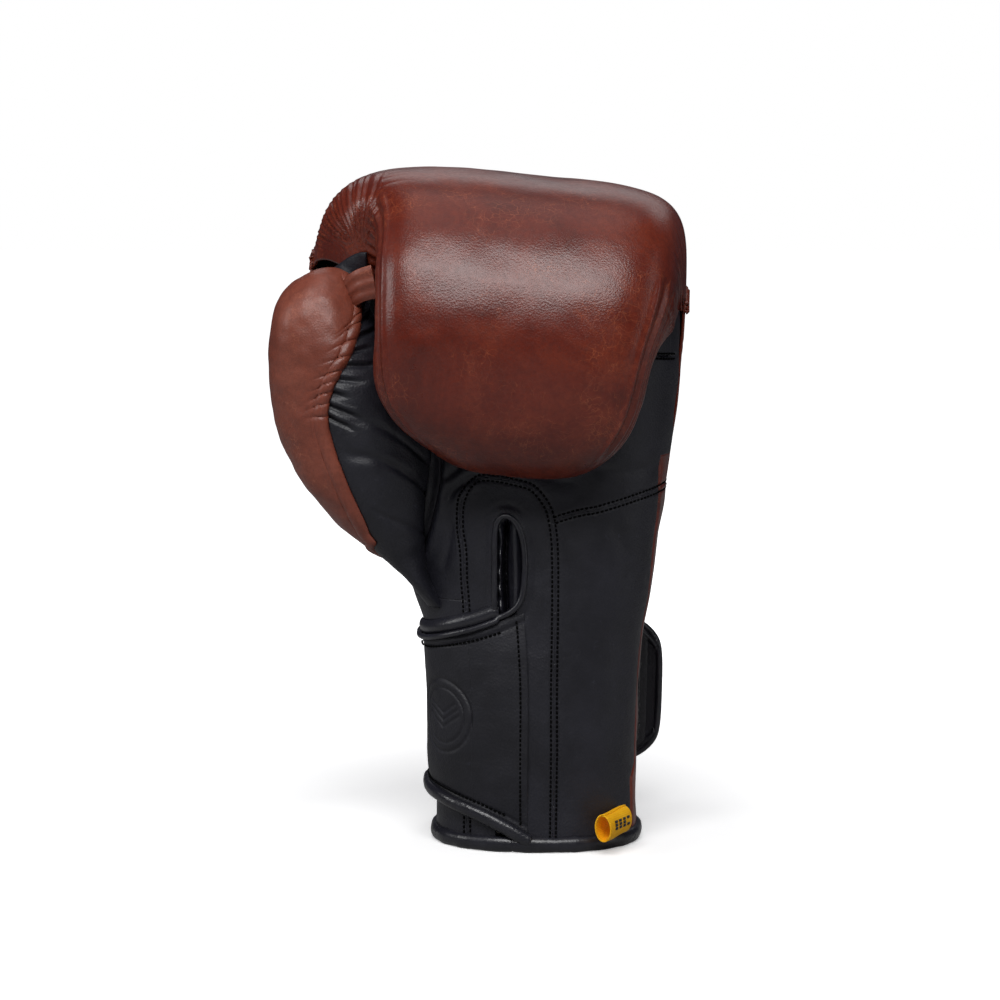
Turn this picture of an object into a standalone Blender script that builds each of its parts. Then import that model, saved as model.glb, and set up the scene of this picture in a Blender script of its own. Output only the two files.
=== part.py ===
"""A left-hand, 16-ounce, hook-and-loop boxing glove, standing on its cuff.

The frame: +Z runs up the forearm to the fist, the palm faces -Y, the back of the hand +Y,
the thumb -X and the little finger +X. The origin is the middle of the cuff's mouth, on the floor.
Tables and sizes are in millimetres; the objects are in metres.
"""

import math

import bmesh
import bpy
from mathutils import Matrix, Vector

MM = 0.001

# Driving dimensions, in millimetres
LEATHER = 1.4  # thickness of every outer panel
GAP = 0.5  # play left between neighbouring panels
PAD_UNDER = 2.3  # depth of the padding's outer face below the leather's outer face
CUFF_PAD = 4.5  # thickness of the cuff's padding
RIM_HEIGHT = 2.6  # height of the binding that the glove stands on
CUFF_PAD_TOP = 94.0
CUFF_PADS = {  # degrees round the cuff
    "cuff_pad_back": (12, 126),
    "cuff_pad_thumb_side": (132, 255),
    "cuff_pad_little_finger_side": (271, 370),
}
CUFF_TOP = 112.5  # where the cuff ends and the hand begins
PALM_TOP = 205.0  # top of the palm panel, hidden behind the rolled fist
SLIT_X = -8.0  # middle of the wrist slit
SLIT_HALF = 5.5
SLIT_TOP = 150.0
SLIT_MIDDLE, FACING_START, FACING_END = 260.3, 236.6, 284.0  # degrees round the cuff
GRIP_Y, GRIP_Z, GRIP_RADIUS = -26.0, 222.0, 9.0
GRIP_LEFT, GRIP_RIGHT = -45.0, 31.0
THUMB_WAY = ((-18.0, 2.0, 152.0), (-78.0, -28.0, 186.0))  # from the hand's room to the thumb's
THUMB_WAY_RADIUS = 11.0

# Cuff and hand: z, then how far the section reaches to the thumb side, little-finger side, palm and back
BODY = (
    (0, -42, 48.5, -40, 38),
    (35, -42, 48.5, -40, 38),
    (75, -42, 49.5, -39.5, 38),
    (96, -44.5, 51.5, -38.5, 39),
    (114, -51, 54.5, -38, 41),
    (131, -56, 57, -38, 45),
    (150, -61, 60, -37.5, 48),
    (172, -66, 62.5, -36.5, 51),
    (195, -71, 65, -35, 54),
    (215, -76, 66.5, -34, 56),
    (245, -80, 67, -33, 58),
)
BODY_POWER = 2.4

# Fist: station, then y and z of the outer profile (back of the wrist, over the top, down the roll, round
# its lip), its reach to the thumb and little-finger sides, its depth, and the squareness of those sides
FIST = (
    (0, 41, 114, -52, 55, 29, 2.6, 2.6),
    (1, 48, 150, -61, 60.5, 36, 2.6, 2.6),
    (2, 55, 195, -72, 66, 42, 2.6, 2.8),
    (3, 60, 235, -89, 69.5, 47, 2.5, 3.0),
    (4, 56, 270, -98.5, 71, 50, 2.3, 3.2),
    (5, 36, 296, -100, 70.5, 48, 2.2, 3.4),
    (6, 5, 306, -95, 70, 46, 2.3, 3.6),
    (7, -30, 304.5, -83, 69, 47, 3.0, 4.0),
    (8, -60, 292, -69, 67.5, 50, 4.2, 4.4),
    (9, -80, 266, -66.5, 66, 50, 4.5, 4.5),
    (10, -88, 236, -64, 61, 47, 4.5, 4.5),
    (11, -85, 206, -60, 53, 40, 4.2, 4.2),
    (12, -75, 184, -49, 42, 27, 3.6, 3.6),
    (13, -60, 171, -35, 30, 16, 3.0, 3.0),
    (14, -46, 174, -31, 24, 9, 3.0, 3.0),
    (15, -41, 187, -29, 21, 5, 3.0, 3.0),
)
LEAN, LEAN_FROM = 0.085, -58.0  # the fist's top falls this much per millimetre towards the little finger

# Thumb: z, then its reach outwards, inwards, to the palm side and to the back
THUMB = (
    (128, -66, -53, -41, -22),
    (146, -83, -54, -50, -13),
    (165, -99, -56, -56, -8),
    (185, -109, -59, -58, -5),
    (205, -114, -62, -58, -5),
    (224, -116, -65, -57, -7),
    (240, -113, -68, -54, -11),
    (251, -107, -72, -48, -17),
    (258, -97, -78, -40, -26),
    (260.4, -90, -84, -35, -31),
)
THUMB_POWER = 2.3

# Room for the hand: ring centre x, y, z, lean of the ring in degrees, half width, half thickness
HAND_ROOM = (
    (2, -1, 1.5, 0, 33.5, 28),
    (2, -1, 60, 0, 33, 27),
    (0, -1, 112, 0, 36, 25),
    (-3, 4, 150, 0, 42, 24),
    (-6, 7, 195, 0, 46, 20),
    (-8, 7, 225, 8, 47, 19),
    (-8, -4, 249, 45, 47, 16),
    (-7, -26, 258, 90, 46, 13),
    (-6, -44, 245, 140, 44, 11),
    (-5, -48, 222, 178, 41, 9),
    (-5, -48, 206, 180, 34, 7),
)
THUMB_ROOM = (
    (-72, -28, 160, -14, 11, 11),
    (-82, -31, 185, -12, 14, 13),
    (-86, -32, 210, -4, 14, 13),
    (-88, -32, 230, 0, 11, 10),
    (-88, -32, 240, 0, 6, 6),
)

# Strap: angles round the cuff, in degrees, where each length starts and ends
ROOT_RIGHT, ROOT_HINGE, SIDE_HINGE, TAIL_HINGE, TAIL_END = 279.0, 262.0, 216.0, 138.0, 42.0
STRAP_LOW, STRAP_HIGH = 36.0, 103.0
STRAP_ROOT_LOW, STRAP_ROOT_HIGH = 4.0, 111.0
STRAP_OUT = 7.5  # outer face of the strap above the cuff
TAIL_LIFT = 17.0  # how far the tail's free end stands off, from LIFT_START on
LIFT_START, ROUND_START = 80.0, 58.0  # the free end is rounded from ROUND_START on
HINGE_GAP_DEG = 0.9
HINGE_UNDER = -0.9  # the strap's hinge lines run just outside its leather, so that it can open

# Size label, a folded ribbon sewn in above the rim
LABEL_ANGLE = 311.0
LABEL_LENGTH, LABEL_RISE, LABEL_THICK, LABEL_Z = 24.0, 12.0, 0.7, 7.5

THUMB_HINGE = (-57.0, -32.0, 131.0)  # the thumb bends about a line through here along Y
THUMB_PIECES = ("thumb_outer_shell", "thumb_inner_panel", "thumb_foam", "thumb_lining")

# Middle of the finished glove's outline on the floor, measured from the middle of the cuff
CENTRE_X, CENTRE_Y = -22.423, -14.097

MATERIALS = {
    "brown_leather": ((0.20, 0.055, 0.030), 0.38),
    "thumb_leather": ((0.24, 0.080, 0.050), 0.45),
    "black_leather": ((0.022, 0.022, 0.027), 0.50),
    "black_binding": ((0.014, 0.014, 0.018), 0.32),
    "hook_and_loop": ((0.008, 0.008, 0.010), 0.95),
    "foam": ((0.55, 0.52, 0.45), 0.90),
    "lining": ((0.030, 0.030, 0.034), 0.85),
    "label_ribbon": ((0.66, 0.36, 0.03), 0.55),
}


def clear_scene():
    for obj in list(bpy.data.objects):
        bpy.data.objects.remove(obj, do_unlink=True)


def make_collection(name):
    collection = bpy.data.collections.new(name)
    bpy.context.scene.collection.children.link(collection)
    return collection


def make_materials():
    for name, (colour, roughness) in MATERIALS.items():
        material = bpy.data.materials.new(name)
        material.use_nodes = True
        shader = material.node_tree.nodes["Principled BSDF"]
        shader.inputs["Base Color"].default_value = (*colour, 1.0)
        shader.inputs["Roughness"].default_value = roughness


def row_at(table, t):
    """Smooth values at t between a table's rows; the first column is the parameter."""
    t = min(max(t, table[0][0]), table[-1][0])
    k = max(i for i in range(len(table) - 1) if table[i][0] <= t)
    before, here, there, after = table[max(k - 1, 0)], table[k], table[k + 1], table[min(k + 2, len(table) - 1)]
    span = there[0] - here[0]
    u = (t - here[0]) / span
    values = []
    for p, a, b, n in zip(before[1:], here[1:], there[1:], after[1:]):
        slope_a = (b - p) / (there[0] - before[0]) * span
        slope_b = (n - a) / (after[0] - here[0]) * span
        values.append(
            a * (2 * u**3 - 3 * u**2 + 1)
            + slope_a * (u**3 - 2 * u**2 + u)
            + b * (3 * u**2 - 2 * u**3)
            + slope_b * (u**3 - u**2)
        )
    return values


def ease(u):
    u = min(max(u, 0.0), 1.0)
    return u * u * (3 - 2 * u)


def blunt(value, power):
    """A sine or cosine bent so that it draws a rounded box in place of a circle."""
    return math.copysign(abs(value) ** (2 / power), value)


def section_point(table, power, degrees, z, out):
    """A point on a level section, out millimetres outside it; 0 degrees is +X and 90 is +Y."""
    left, right, front, back = row_at(table, z)
    angle = math.radians(degrees)
    x = (left + right) / 2 + ((right - left) / 2 + out) * blunt(math.cos(angle), power)
    y = (front + back) / 2 + ((back - front) / 2 + out) * blunt(math.sin(angle), power)
    return Vector((x, y, z))


def body_point(degrees, z, out=0.0):
    return section_point(BODY, BODY_POWER, degrees, z, out)


def thumb_point(degrees, z, out=0.0):
    return section_point(THUMB, THUMB_POWER, degrees, z, out)


def fist_point(station, turn, out=0.0):
    """A point on the fist's outside: turn is 0 on the middle of the profile and 90 degrees down a side."""
    y, z, left, right, depth, square_left, square_right = row_at(FIST, station)
    near = row_at(FIST, station + 0.01 if station < 14.9 else station - 0.01)
    along = Vector((0, near[0] - y, near[1] - z)) * (1 if station < 14.9 else -1)
    normal = Vector((0, along.z, -along.y)).normalized()
    power = square_left if turn < 0 else square_right
    angle = math.radians(turn)
    x = (left + right) / 2 + ((right - left) / 2 + out) * blunt(math.sin(angle), power)
    sunk = (depth + out) * (1 - blunt(math.cos(angle), power))
    lean = LEAN * ease((station - 1) / 3.5) * (x - LEAN_FROM)
    return Vector((x, y, z - lean)) + normal * (out - sunk)


def add_object(name, data, collection, material=None):
    obj = bpy.data.objects.new(name, data)
    collection.objects.link(obj)
    if material:
        data.materials.append(bpy.data.materials[material])
    return obj


def sheet(name, point, across, up, thickness, material, collection):
    """A panel or pad: a grid laid over point(u, v), both from 0 to 1, and thickened inwards."""
    mesh = bpy.data.meshes.new(name)
    bm = bmesh.new()
    bmesh.ops.create_grid(bm, x_segments=across, y_segments=up, size=0.5)
    for vertex in bm.verts:
        vertex.co = point(vertex.co.x + 0.5, vertex.co.y + 0.5) * MM
    bm.to_mesh(mesh)
    bm.free()
    mesh.shade_smooth()
    obj = add_object(name, mesh, collection, material)
    solidify = obj.modifiers.new("thickness", "SOLIDIFY")
    solidify.thickness = thickness * MM
    solidify.offset = -1
    return obj


def side_reach(z):
    """How many degrees past the middle of a side the hand's side panels run, to meet the brown leather."""
    return 15 - 0.08 * (z - 114)


def body_sheet(name, angles, low, high, out, thickness, grid, material, collection, reach_first=0, reach_last=0):
    """A sheet on the cuff or hand between two angles. low and high are heights, or functions of the angle.

    reach_first and reach_last, when 1 or -1, push the sheet's first or last edge round to the brown leather.
    """
    start, end = angles

    def height(limit, degrees):
        return limit(degrees) if callable(limit) else limit

    def point(u, v):
        degrees = start + (end - start) * u
        bottom, top = height(low, degrees), height(high, degrees)
        z = bottom + (top - bottom) * v
        if reach_first:
            degrees += side_reach(z) * reach_first * (1 - u)
        if reach_last:
            degrees += side_reach(z) * reach_last * u
        return body_point(degrees, z, out)

    return sheet(name, point, *grid, thickness, material, collection)


def fist_sheet(name, stations, turns, out, thickness, grid, material, collection):
    """A sheet on the fist between two stations. turns gives the two side angles at a station."""

    def point(u, v):
        station = stations[0] + (stations[1] - stations[0]) * v
        first, last = turns(station)
        return fist_point(station, first + (last - first) * u, out)

    return sheet(name, point, *grid, thickness, material, collection)


def ring_loft(name, rings, out, power, sides, collection, material=None):
    """A closed solid lofted through leaning rounded rings, whose lean tips them towards -Y."""
    mesh = bpy.data.meshes.new(name)
    bm = bmesh.new()
    loops = []
    for x, y, z, lean, half_width, half_thick in rings:
        tilt = Matrix.Rotation(math.radians(lean), 4, "X")
        loop = []
        for i in range(sides):
            angle = 2 * math.pi * i / sides
            flat = Vector(
                (
                    (half_width + out) * blunt(math.cos(angle), power),
                    (half_thick + out) * blunt(math.sin(angle), power),
                    0,
                )
            )
            loop.append(bm.verts.new((Vector((x, y, z)) + tilt @ flat) * MM))
        loops.append(loop)
    for lower, upper in zip(loops, loops[1:]):
        for i in range(sides):
            j = (i + 1) % sides
            bm.faces.new((lower[i], lower[j], upper[j], upper[i]))
    bm.faces.new(list(reversed(loops[0])))
    bm.faces.new(loops[-1])
    bm.to_mesh(mesh)
    bm.free()
    mesh.shade_smooth()
    return add_object(name, mesh, collection, material)


def section_solid(name, point, heights, out, sides, collection, material=None):
    """A closed solid through level sections, by the point function of the body or the thumb."""
    mesh = bpy.data.meshes.new(name)
    bm = bmesh.new()
    loops = [[bm.verts.new(point(360 * i / sides, z, out) * MM) for i in range(sides)] for z in heights]
    for lower, upper in zip(loops, loops[1:]):
        for i in range(sides):
            j = (i + 1) % sides
            bm.faces.new((lower[i], lower[j], upper[j], upper[i]))
    bm.faces.new(list(reversed(loops[0])))
    bm.faces.new(loops[-1])
    bm.to_mesh(mesh)
    bm.free()
    mesh.shade_smooth()
    return add_object(name, mesh, collection, material)


def hide_cutter(obj):
    obj.hide_render = True
    obj.display_type = "WIRE"
    return obj


def rod_between(name, start, end, radius, sides, collection, material=None):
    start, end = Vector(start) * MM, Vector(end) * MM
    mesh = bpy.data.meshes.new(name)
    bm = bmesh.new()
    bmesh.ops.create_cone(
        bm,
        cap_ends=True,
        segments=sides,
        radius1=radius * MM,
        radius2=radius * MM,
        depth=(end - start).length,
    )
    bm.to_mesh(mesh)
    bm.free()
    obj = add_object(name, mesh, collection, material)
    obj.location = (start + end) / 2
    obj.rotation_mode = "QUATERNION"
    obj.rotation_quaternion = (end - start).to_track_quat("Z", "Y")
    return obj


def cut(obj, cutter):
    boolean = obj.modifiers.new("cut_" + cutter.name, "BOOLEAN")
    boolean.operation = "DIFFERENCE"
    boolean.object = cutter


def cord(name, points, radius, material, collection):
    """A bound edge: a round cord through points."""
    curve = bpy.data.curves.new(name, "CURVE")
    curve.dimensions = "3D"
    curve.bevel_depth = radius * MM
    curve.bevel_resolution = 1
    curve.use_fill_caps = True
    spline = curve.splines.new("POLY")
    spline.points.add(len(points) - 1)
    for knot, point in zip(spline.points, points):
        knot.co = (*(point * MM), 1)
    return add_object(name, curve, collection, material)


def make_cutters(cutters):
    hand_room = hide_cutter(ring_loft("hand_room_cutter", HAND_ROOM, 1.6, BODY_POWER, 24, cutters))
    thumb_room = hide_cutter(ring_loft("thumb_room_cutter", THUMB_ROOM, 1.4, 2.0, 16, cutters))
    heights = [-5, 40, 90] + [112 + 15 * i for i in range(10)]
    beside_hand = hide_cutter(section_solid("hand_cutter", body_point, heights, 1.2, 40, cutters))
    thumb_way = hide_cutter(rod_between("thumb_way_cutter", *THUMB_WAY, THUMB_WAY_RADIUS, 20, cutters))
    slit = hide_cutter(make_slit_cutter(cutters))
    return hand_room, thumb_room, beside_hand, thumb_way, slit


def make_slit_cutter(cutters):
    """An upright slot with a round top, cut through the palm side of the cuff."""
    curve = bpy.data.curves.new("slit_outline", "CURVE")
    curve.dimensions = "2D"
    curve.fill_mode = "BOTH"
    curve.extrude = 16 * MM
    spline = curve.splines.new("POLY")
    arc = [math.pi * i / 10 for i in range(11)]
    outline = [(SLIT_HALF, -9.0)] + [
        (SLIT_HALF * math.cos(a), SLIT_TOP - SLIT_HALF + SLIT_HALF * math.sin(a)) for a in arc
    ]
    outline.append((-SLIT_HALF, -9.0))
    spline.points.add(len(outline) - 1)
    for knot, (x, z) in zip(spline.points, outline):
        knot.co = (x * MM, z * MM, 0, 1)
    spline.use_cyclic_u = True
    outline_object = bpy.data.objects.new("slit_outline", curve)
    cutters.objects.link(outline_object)
    graph = bpy.context.evaluated_depsgraph_get()
    mesh = bpy.data.meshes.new_from_object(outline_object.evaluated_get(graph))
    bm = bmesh.new()
    bm.from_mesh(mesh)
    bmesh.ops.remove_doubles(bm, verts=bm.verts, dist=1e-6)
    bmesh.ops.recalc_face_normals(bm, faces=bm.faces)
    bm.to_mesh(mesh)
    bm.free()
    bpy.data.objects.remove(outline_object)
    cutter = add_object("slit_cutter", mesh, cutters)
    cutter.rotation_euler = (math.pi / 2, 0, 0)
    cutter.location = (SLIT_X * MM, -34 * MM, 0)
    return cutter


def seam_turn(station):
    """How far round the side the face leather reaches before the gathered side panel takes over."""
    back = 86 - 36 * ease((station - 2.1) / 1.0)
    return max(back, 50 + 36 * ease((station - 11.9) / 0.7))


def make_fist(parts, hand_room):
    def face(station):
        return seam_turn(station), -seam_turn(station)

    def thumb_side(station):
        return -seam_turn(station) - 1.2, -88.5

    def little_finger_side(station):
        return 88.5, seam_turn(station) + 1.2

    def padding(station):
        return 50, -50

    fist_sheet("knuckle_shell", (0, 15), face, 0, LEATHER, (15, 44), "brown_leather", parts)
    fist_sheet("thumb_side_gusset", (2.35, 11.8), thumb_side, 0, LEATHER, (6, 26), "brown_leather", parts)
    fist_sheet("little_finger_gusset", (2.35, 11.8), little_finger_side, 0, LEATHER, (6, 26), "brown_leather", parts)
    fist_sheet("knuckle_foam_outer", (2.7, 12.5), padding, -2.6, 16, (8, 22), "foam", parts)
    inner = fist_sheet("knuckle_foam_inner", (3.2, 11.2), padding, -20.0, 7, (6, 18), "foam", parts)
    cut(inner, hand_room)
    back_pad = fist_sheet("back_of_hand_pad", (0.12, 2.6), padding, -2.6, 10, (8, 8), "foam", parts)
    cut(back_pad, hand_room)


def palm_seam(degrees):
    """The seam across the palm arches over the slit and climbs to the little-finger side."""
    arch = 1 - ((degrees - SLIT_MIDDLE) / (FACING_END - SLIT_MIDDLE)) ** 2
    return 149 + (18 * arch if degrees < FACING_END else 16 * ease((degrees - FACING_END) / 50))


def make_hand(parts, hand_room, thumb_way, slit):
    """The black panels of the palm and the hand's two sides, and the pads behind them."""
    body_sheet(
        "palm_panel",
        (236, 316),
        lambda a: palm_seam(a) + GAP,
        PALM_TOP,
        0, LEATHER, (14, 5), "black_leather", parts,
    )
    body_sheet("side_panel_upper", (317, 360), 222, 262, 0, LEATHER, (8, 4), "black_leather", parts, 0, 1)
    body_sheet(
        "side_panel_lower",
        (317, 360),
        lambda a: palm_seam(a) + 2 * GAP,
        222 - GAP,
        0, LEATHER, (8, 6), "black_leather", parts, 0, 1,
    )
    thumb_panel = body_sheet(
        "thumb_base_panel", (180, 235), 113, 250, 0, LEATHER, (12, 12), "black_leather", parts, -1, 0
    )
    cut(thumb_panel, thumb_way)
    facing = body_sheet(
        "slit_facing",
        (FACING_START, FACING_END),
        RIM_HEIGHT + GAP,
        palm_seam,
        0, LEATHER, (14, 14), "black_leather", parts,
    )
    cut(facing, slit)
    palm_pad = body_sheet("palm_pad", (238, 300), 115, 198, -PAD_UNDER, 5, (10, 8), "foam", parts)
    cut(palm_pad, slit)
    cut(palm_pad, hand_room)
    edge_pad = body_sheet("edge_pad", (304, 356), 115, 236, -PAD_UNDER, 8, (8, 8), "foam", parts)
    cut(edge_pad, hand_room)


def make_cuff(parts, slit):
    base = RIM_HEIGHT + GAP
    body_sheet(
        "cuff_palm_panel",
        (FACING_END + 0.6, 369),
        base,
        lambda a: palm_seam(a) if a < 357 else CUFF_TOP,
        0, LEATHER, (16, 10), "black_leather", parts,
    )
    body_sheet("cuff_back_panel", (9.8, 170), base, CUFF_TOP, 0, LEATHER, (20, 6), "brown_leather", parts)
    body_sheet("cuff_thumb_panel", (170.8, 236), base, CUFF_TOP, 0, LEATHER, (12, 6), "black_leather", parts)
    for name, angles in CUFF_PADS.items():
        body_sheet(name, angles, base, CUFF_PAD_TOP, -PAD_UNDER, CUFF_PAD, (12, 4), "foam", parts)

    def rim_point(u, v):
        edge = body_point(271 + 343 * u, 0, 0.9)
        return Vector((edge.x, edge.y, RIM_HEIGHT * v))

    rim = sheet("cuff_rim_binding", rim_point, 44, 1, 8.0, "black_binding", parts)
    cut(rim, slit)


def slit_binding_points():
    """Up the slit's little-finger side from the strap, round the top and down the thumb side."""
    half, top = SLIT_HALF + 2.2, SLIT_TOP - SLIT_HALF
    outline = [(SLIT_X + half, 113.5)]
    outline += [(SLIT_X + half * math.cos(math.pi * i / 8), top + half * math.sin(math.pi * i / 8)) for i in range(9)]
    outline.append((SLIT_X - half, 113.5))
    points = []
    for x, z in outline:
        left, right, palm, back = row_at(BODY, z)
        share = (x - (left + right) / 2) / ((right - left) / 2)
        fall = (1 - abs(share) ** BODY_POWER) ** (1 / BODY_POWER)
        y = (palm + back) / 2 - ((back - palm) / 2 + 2.0) * fall
        points.append(Vector((x, y, z)))
    return points


def strap_out(degrees):
    """How far the strap's outer face stands off the cuff: flush at its sewn root, more at the free tail."""
    rise = 2.6 + (STRAP_OUT - 2.6) * ease((ROOT_RIGHT - degrees) / 60)
    lift = max(0.0, (LIFT_START - degrees) / (LIFT_START - TAIL_END))
    return rise + TAIL_LIFT * lift**2


def strap_low(degrees):
    return STRAP_ROOT_LOW + (STRAP_LOW - STRAP_ROOT_LOW) * ease((ROOT_RIGHT - degrees) / 95)


def strap_high(degrees):
    return STRAP_ROOT_HIGH + (STRAP_HIGH - STRAP_ROOT_HIGH) * ease((ROOT_RIGHT - degrees) / 80)


def tail_narrowing(degrees):
    """The tail's free end is rounded: 1 over its length, falling to about a half at the tip."""
    share = max(0.0, (ROUND_START - degrees) / (ROUND_START - TAIL_END))
    return math.sqrt(1 - 0.72 * min(share, 1.0) ** 2)


def strap_outline(degrees, side):
    """A point of the bound edge, which runs just outside the leather; side is -1 below and 1 above."""
    low, high = strap_low(degrees), strap_high(degrees)
    half = (high - low) / 2 * tail_narrowing(degrees + 2.8) + 2.0
    return body_point(degrees, (low + high) / 2 + side * half, strap_out(degrees) - 0.8)


def strap_point(degrees, share, under=0.0, inset=0.0):
    """A point of the strap, which is straight from its lower edge (share 0) to its upper edge (share 1)."""
    low, high = strap_low(degrees) + inset, strap_high(degrees) - inset
    middle, half = (low + high) / 2, (high - low) / 2 * tail_narrowing(degrees)
    out = strap_out(degrees) - under
    return body_point(degrees, middle - half, out).lerp(body_point(degrees, middle + half, out), share)


def strap_sheet(name, angles, under, thickness, inset, grid, material, collection):
    """A layer of one length of the strap; its angles fall from the root to the tail."""
    start, end = angles

    def point(u, v):
        return strap_point(end + (start - end) * u, v, under, inset)

    return sheet(name, point, *grid, thickness, material, collection)


def strap_edge(angles, side, steps):
    start, end = angles
    return [strap_outline(start + (end - start) * i / steps, side) for i in range(steps + 1)]


def make_strap(parts):
    g = HINGE_GAP_DEG
    root = (ROOT_RIGHT, ROOT_HINGE + g)
    front = (ROOT_HINGE - g, SIDE_HINGE + g)
    side = (SIDE_HINGE - g, TAIL_HINGE + g)
    tail = (TAIL_HINGE - g, TAIL_END)
    strap_sheet("strap_root", root, 0, 1.6, 0, (4, 6), "black_leather", parts)
    strap_sheet("strap_front_leather", front, 0, 1.5, 0, (10, 6), "black_leather", parts)
    strap_sheet("strap_side_leather", side, 0, 1.5, 0, (14, 5), "black_leather", parts)
    strap_sheet("strap_side_backing", side, 2.2, 1.2, 3, (12, 4), "lining", parts)
    strap_sheet("strap_tail_leather", tail, 0, 1.5, 0, (16, 6), "black_leather", parts)
    strap_sheet("strap_tail_backing", tail, 2.5, 0.9, 2, (14, 5), "lining", parts)
    strap_sheet("hook_patch", (118, 64), 4.2, 0.8, 8, (10, 4), "hook_and_loop", parts)
    body_sheet("loop_patch", (38, 135), 40, 96, 1.8, 1.3, (14, 3), "hook_and_loop", parts)
    cord("strap_front_binding_top", strap_edge(front, 1, 5), 1.3, "black_binding", parts)
    cord("strap_front_binding_bottom", strap_edge(front, -1, 5), 1.3, "black_binding", parts)
    cord("strap_side_binding_top", strap_edge(side, 1, 8), 1.3, "black_binding", parts)
    cord("strap_side_binding_bottom", strap_edge(side, -1, 8), 1.3, "black_binding", parts)
    end = (TAIL_HINGE - g, TAIL_END - 2.8)
    round_end = strap_edge(end, -1, 14) + list(reversed(strap_edge(end, 1, 14)))
    cord("strap_tail_binding", round_end, 1.3, "black_binding", parts)


def make_thumb(parts, beside_hand, thumb_room, thumb_way):
    top, bottom = THUMB[-1][0] - 0.4, THUMB[0][0]

    def seam(z):
        """The black inner panel starts on the palm side, and higher up only on the inner side."""
        return 262 + 70 * ease((z - 205) / 34)

    def outer(u, v):
        z = bottom + (top - bottom) * (1 - (1 - v) ** 1.7)
        return thumb_point(62 + (seam(z) - 62) * u, z)

    def inner(u, v):
        z = bottom + (top - bottom) * (1 - (1 - v) ** 1.7)
        return thumb_point(seam(z) + 3 + (416.5 - seam(z) - 3) * u, z)

    outer_shell = sheet("thumb_outer_shell", outer, 18, 14, LEATHER, "thumb_leather", parts)
    inner_panel = sheet("thumb_inner_panel", inner, 12, 14, LEATHER, "black_leather", parts)

    def under_leather(degrees, z, out):
        return thumb_point(degrees, z, out) - Vector((0, 0, 3 * ease((z - 200) / 45)))

    heights = [133 + 11 * i for i in range(11)] + [248, 251]
    foam = section_solid("thumb_foam", under_leather, heights, -2.6, 22, parts, "foam")
    lining = ring_loft("thumb_lining", THUMB_ROOM, 0.9, 2.0, 16, parts, "lining")
    hollow = lining.modifiers.new("thickness", "SOLIDIFY")
    hollow.thickness = 0.7 * MM
    hollow.offset = -1
    cut(outer_shell, beside_hand)
    cut(inner_panel, beside_hand)
    cut(foam, beside_hand)
    cut(foam, thumb_room)
    cut(foam, thumb_way)
    cut(lining, beside_hand)
    cut(lining, thumb_way)


def make_thumb_tab(parts):
    """The short strap that ties the thumb's tip to the side of the rolled fist."""

    def point(u, v):
        start, end = Vector((-70.5, -48, 241)), Vector((-66.8, -58, 238))
        middle = start.lerp(end, u) + Vector((-1.6 * math.sin(math.pi * u), -1.2, 0))
        return middle + Vector((0, 0, 15 * (v - 0.5)))

    sheet("thumb_tab", point, 4, 3, 1.2, "thumb_leather", parts)


def make_grip(parts):
    ends = (GRIP_LEFT, GRIP_Y, GRIP_Z), (GRIP_RIGHT, GRIP_Y, GRIP_Z)
    rod_between("grip_bar_core", *ends, GRIP_RADIUS, 20, parts, "foam")

    def cover(u, v):
        angle = math.radians(100 + 340 * u)
        radius = GRIP_RADIUS + GAP + 1.1
        x = ends[0][0] + (ends[1][0] - ends[0][0]) * (1 - v)
        return Vector((x, GRIP_Y + radius * math.cos(angle), GRIP_Z + radius * math.sin(angle)))

    sheet("grip_bar_cover", cover, 20, 1, 1.1, "lining", parts)


def make_lining(parts, thumb_way):
    """The sock that the hand slides into, open at the wrist."""
    lining = ring_loft("hand_lining", HAND_ROOM, 1.0, BODY_POWER, 24, parts, "lining")
    bm = bmesh.new()
    bm.from_mesh(lining.data)
    mouth = min(bm.faces, key=lambda face: face.calc_center_median().z)
    bmesh.ops.delete(bm, geom=[mouth], context="FACES_ONLY")
    bm.to_mesh(lining.data)
    bm.free()
    wall = lining.modifiers.new("thickness", "SOLIDIFY")
    wall.thickness = 0.8 * MM
    wall.offset = -1
    cut(lining, thumb_way)


def make_label(parts):
    """A ribbon folded into a loop, both ends sewn in just above the rim."""
    foot = body_point(LABEL_ANGLE, LABEL_Z, 0.9)
    along = (body_point(LABEL_ANGLE + 2, LABEL_Z, 0.9) - foot).normalized()
    away = Vector((along.y, -along.x, 0))

    def point(u, v):
        swing = math.pi * (1.5 - 2 * u) * 0.93
        across = 0.9 + 4.6 * (1 - abs(2 * u - 1) ** 2.4)
        rise = LABEL_RISE * (0.5 - 0.5 * math.cos(2 * math.pi * u)) ** 0.62
        side = across * math.sin(swing - math.pi / 2) * -1
        return foot + away * (6.2 + side) + Vector((0, 0, rise)) + along * LABEL_LENGTH * (v - 0.5)

    sheet("size_label", point, 16, 3, LABEL_THICK, "label_ribbon", parts)


def hang_on(pivot_name, point, children, collection):
    """Put an empty on a joint's axis and make the pieces that move with it its children."""
    pivot = bpy.data.objects.new(pivot_name, None)
    pivot.location = point * MM
    collection.objects.link(pivot)
    for child in children:
        child.parent = pivot
        child.matrix_parent_inverse = Matrix.Translation(-pivot.location)
    return pivot


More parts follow.
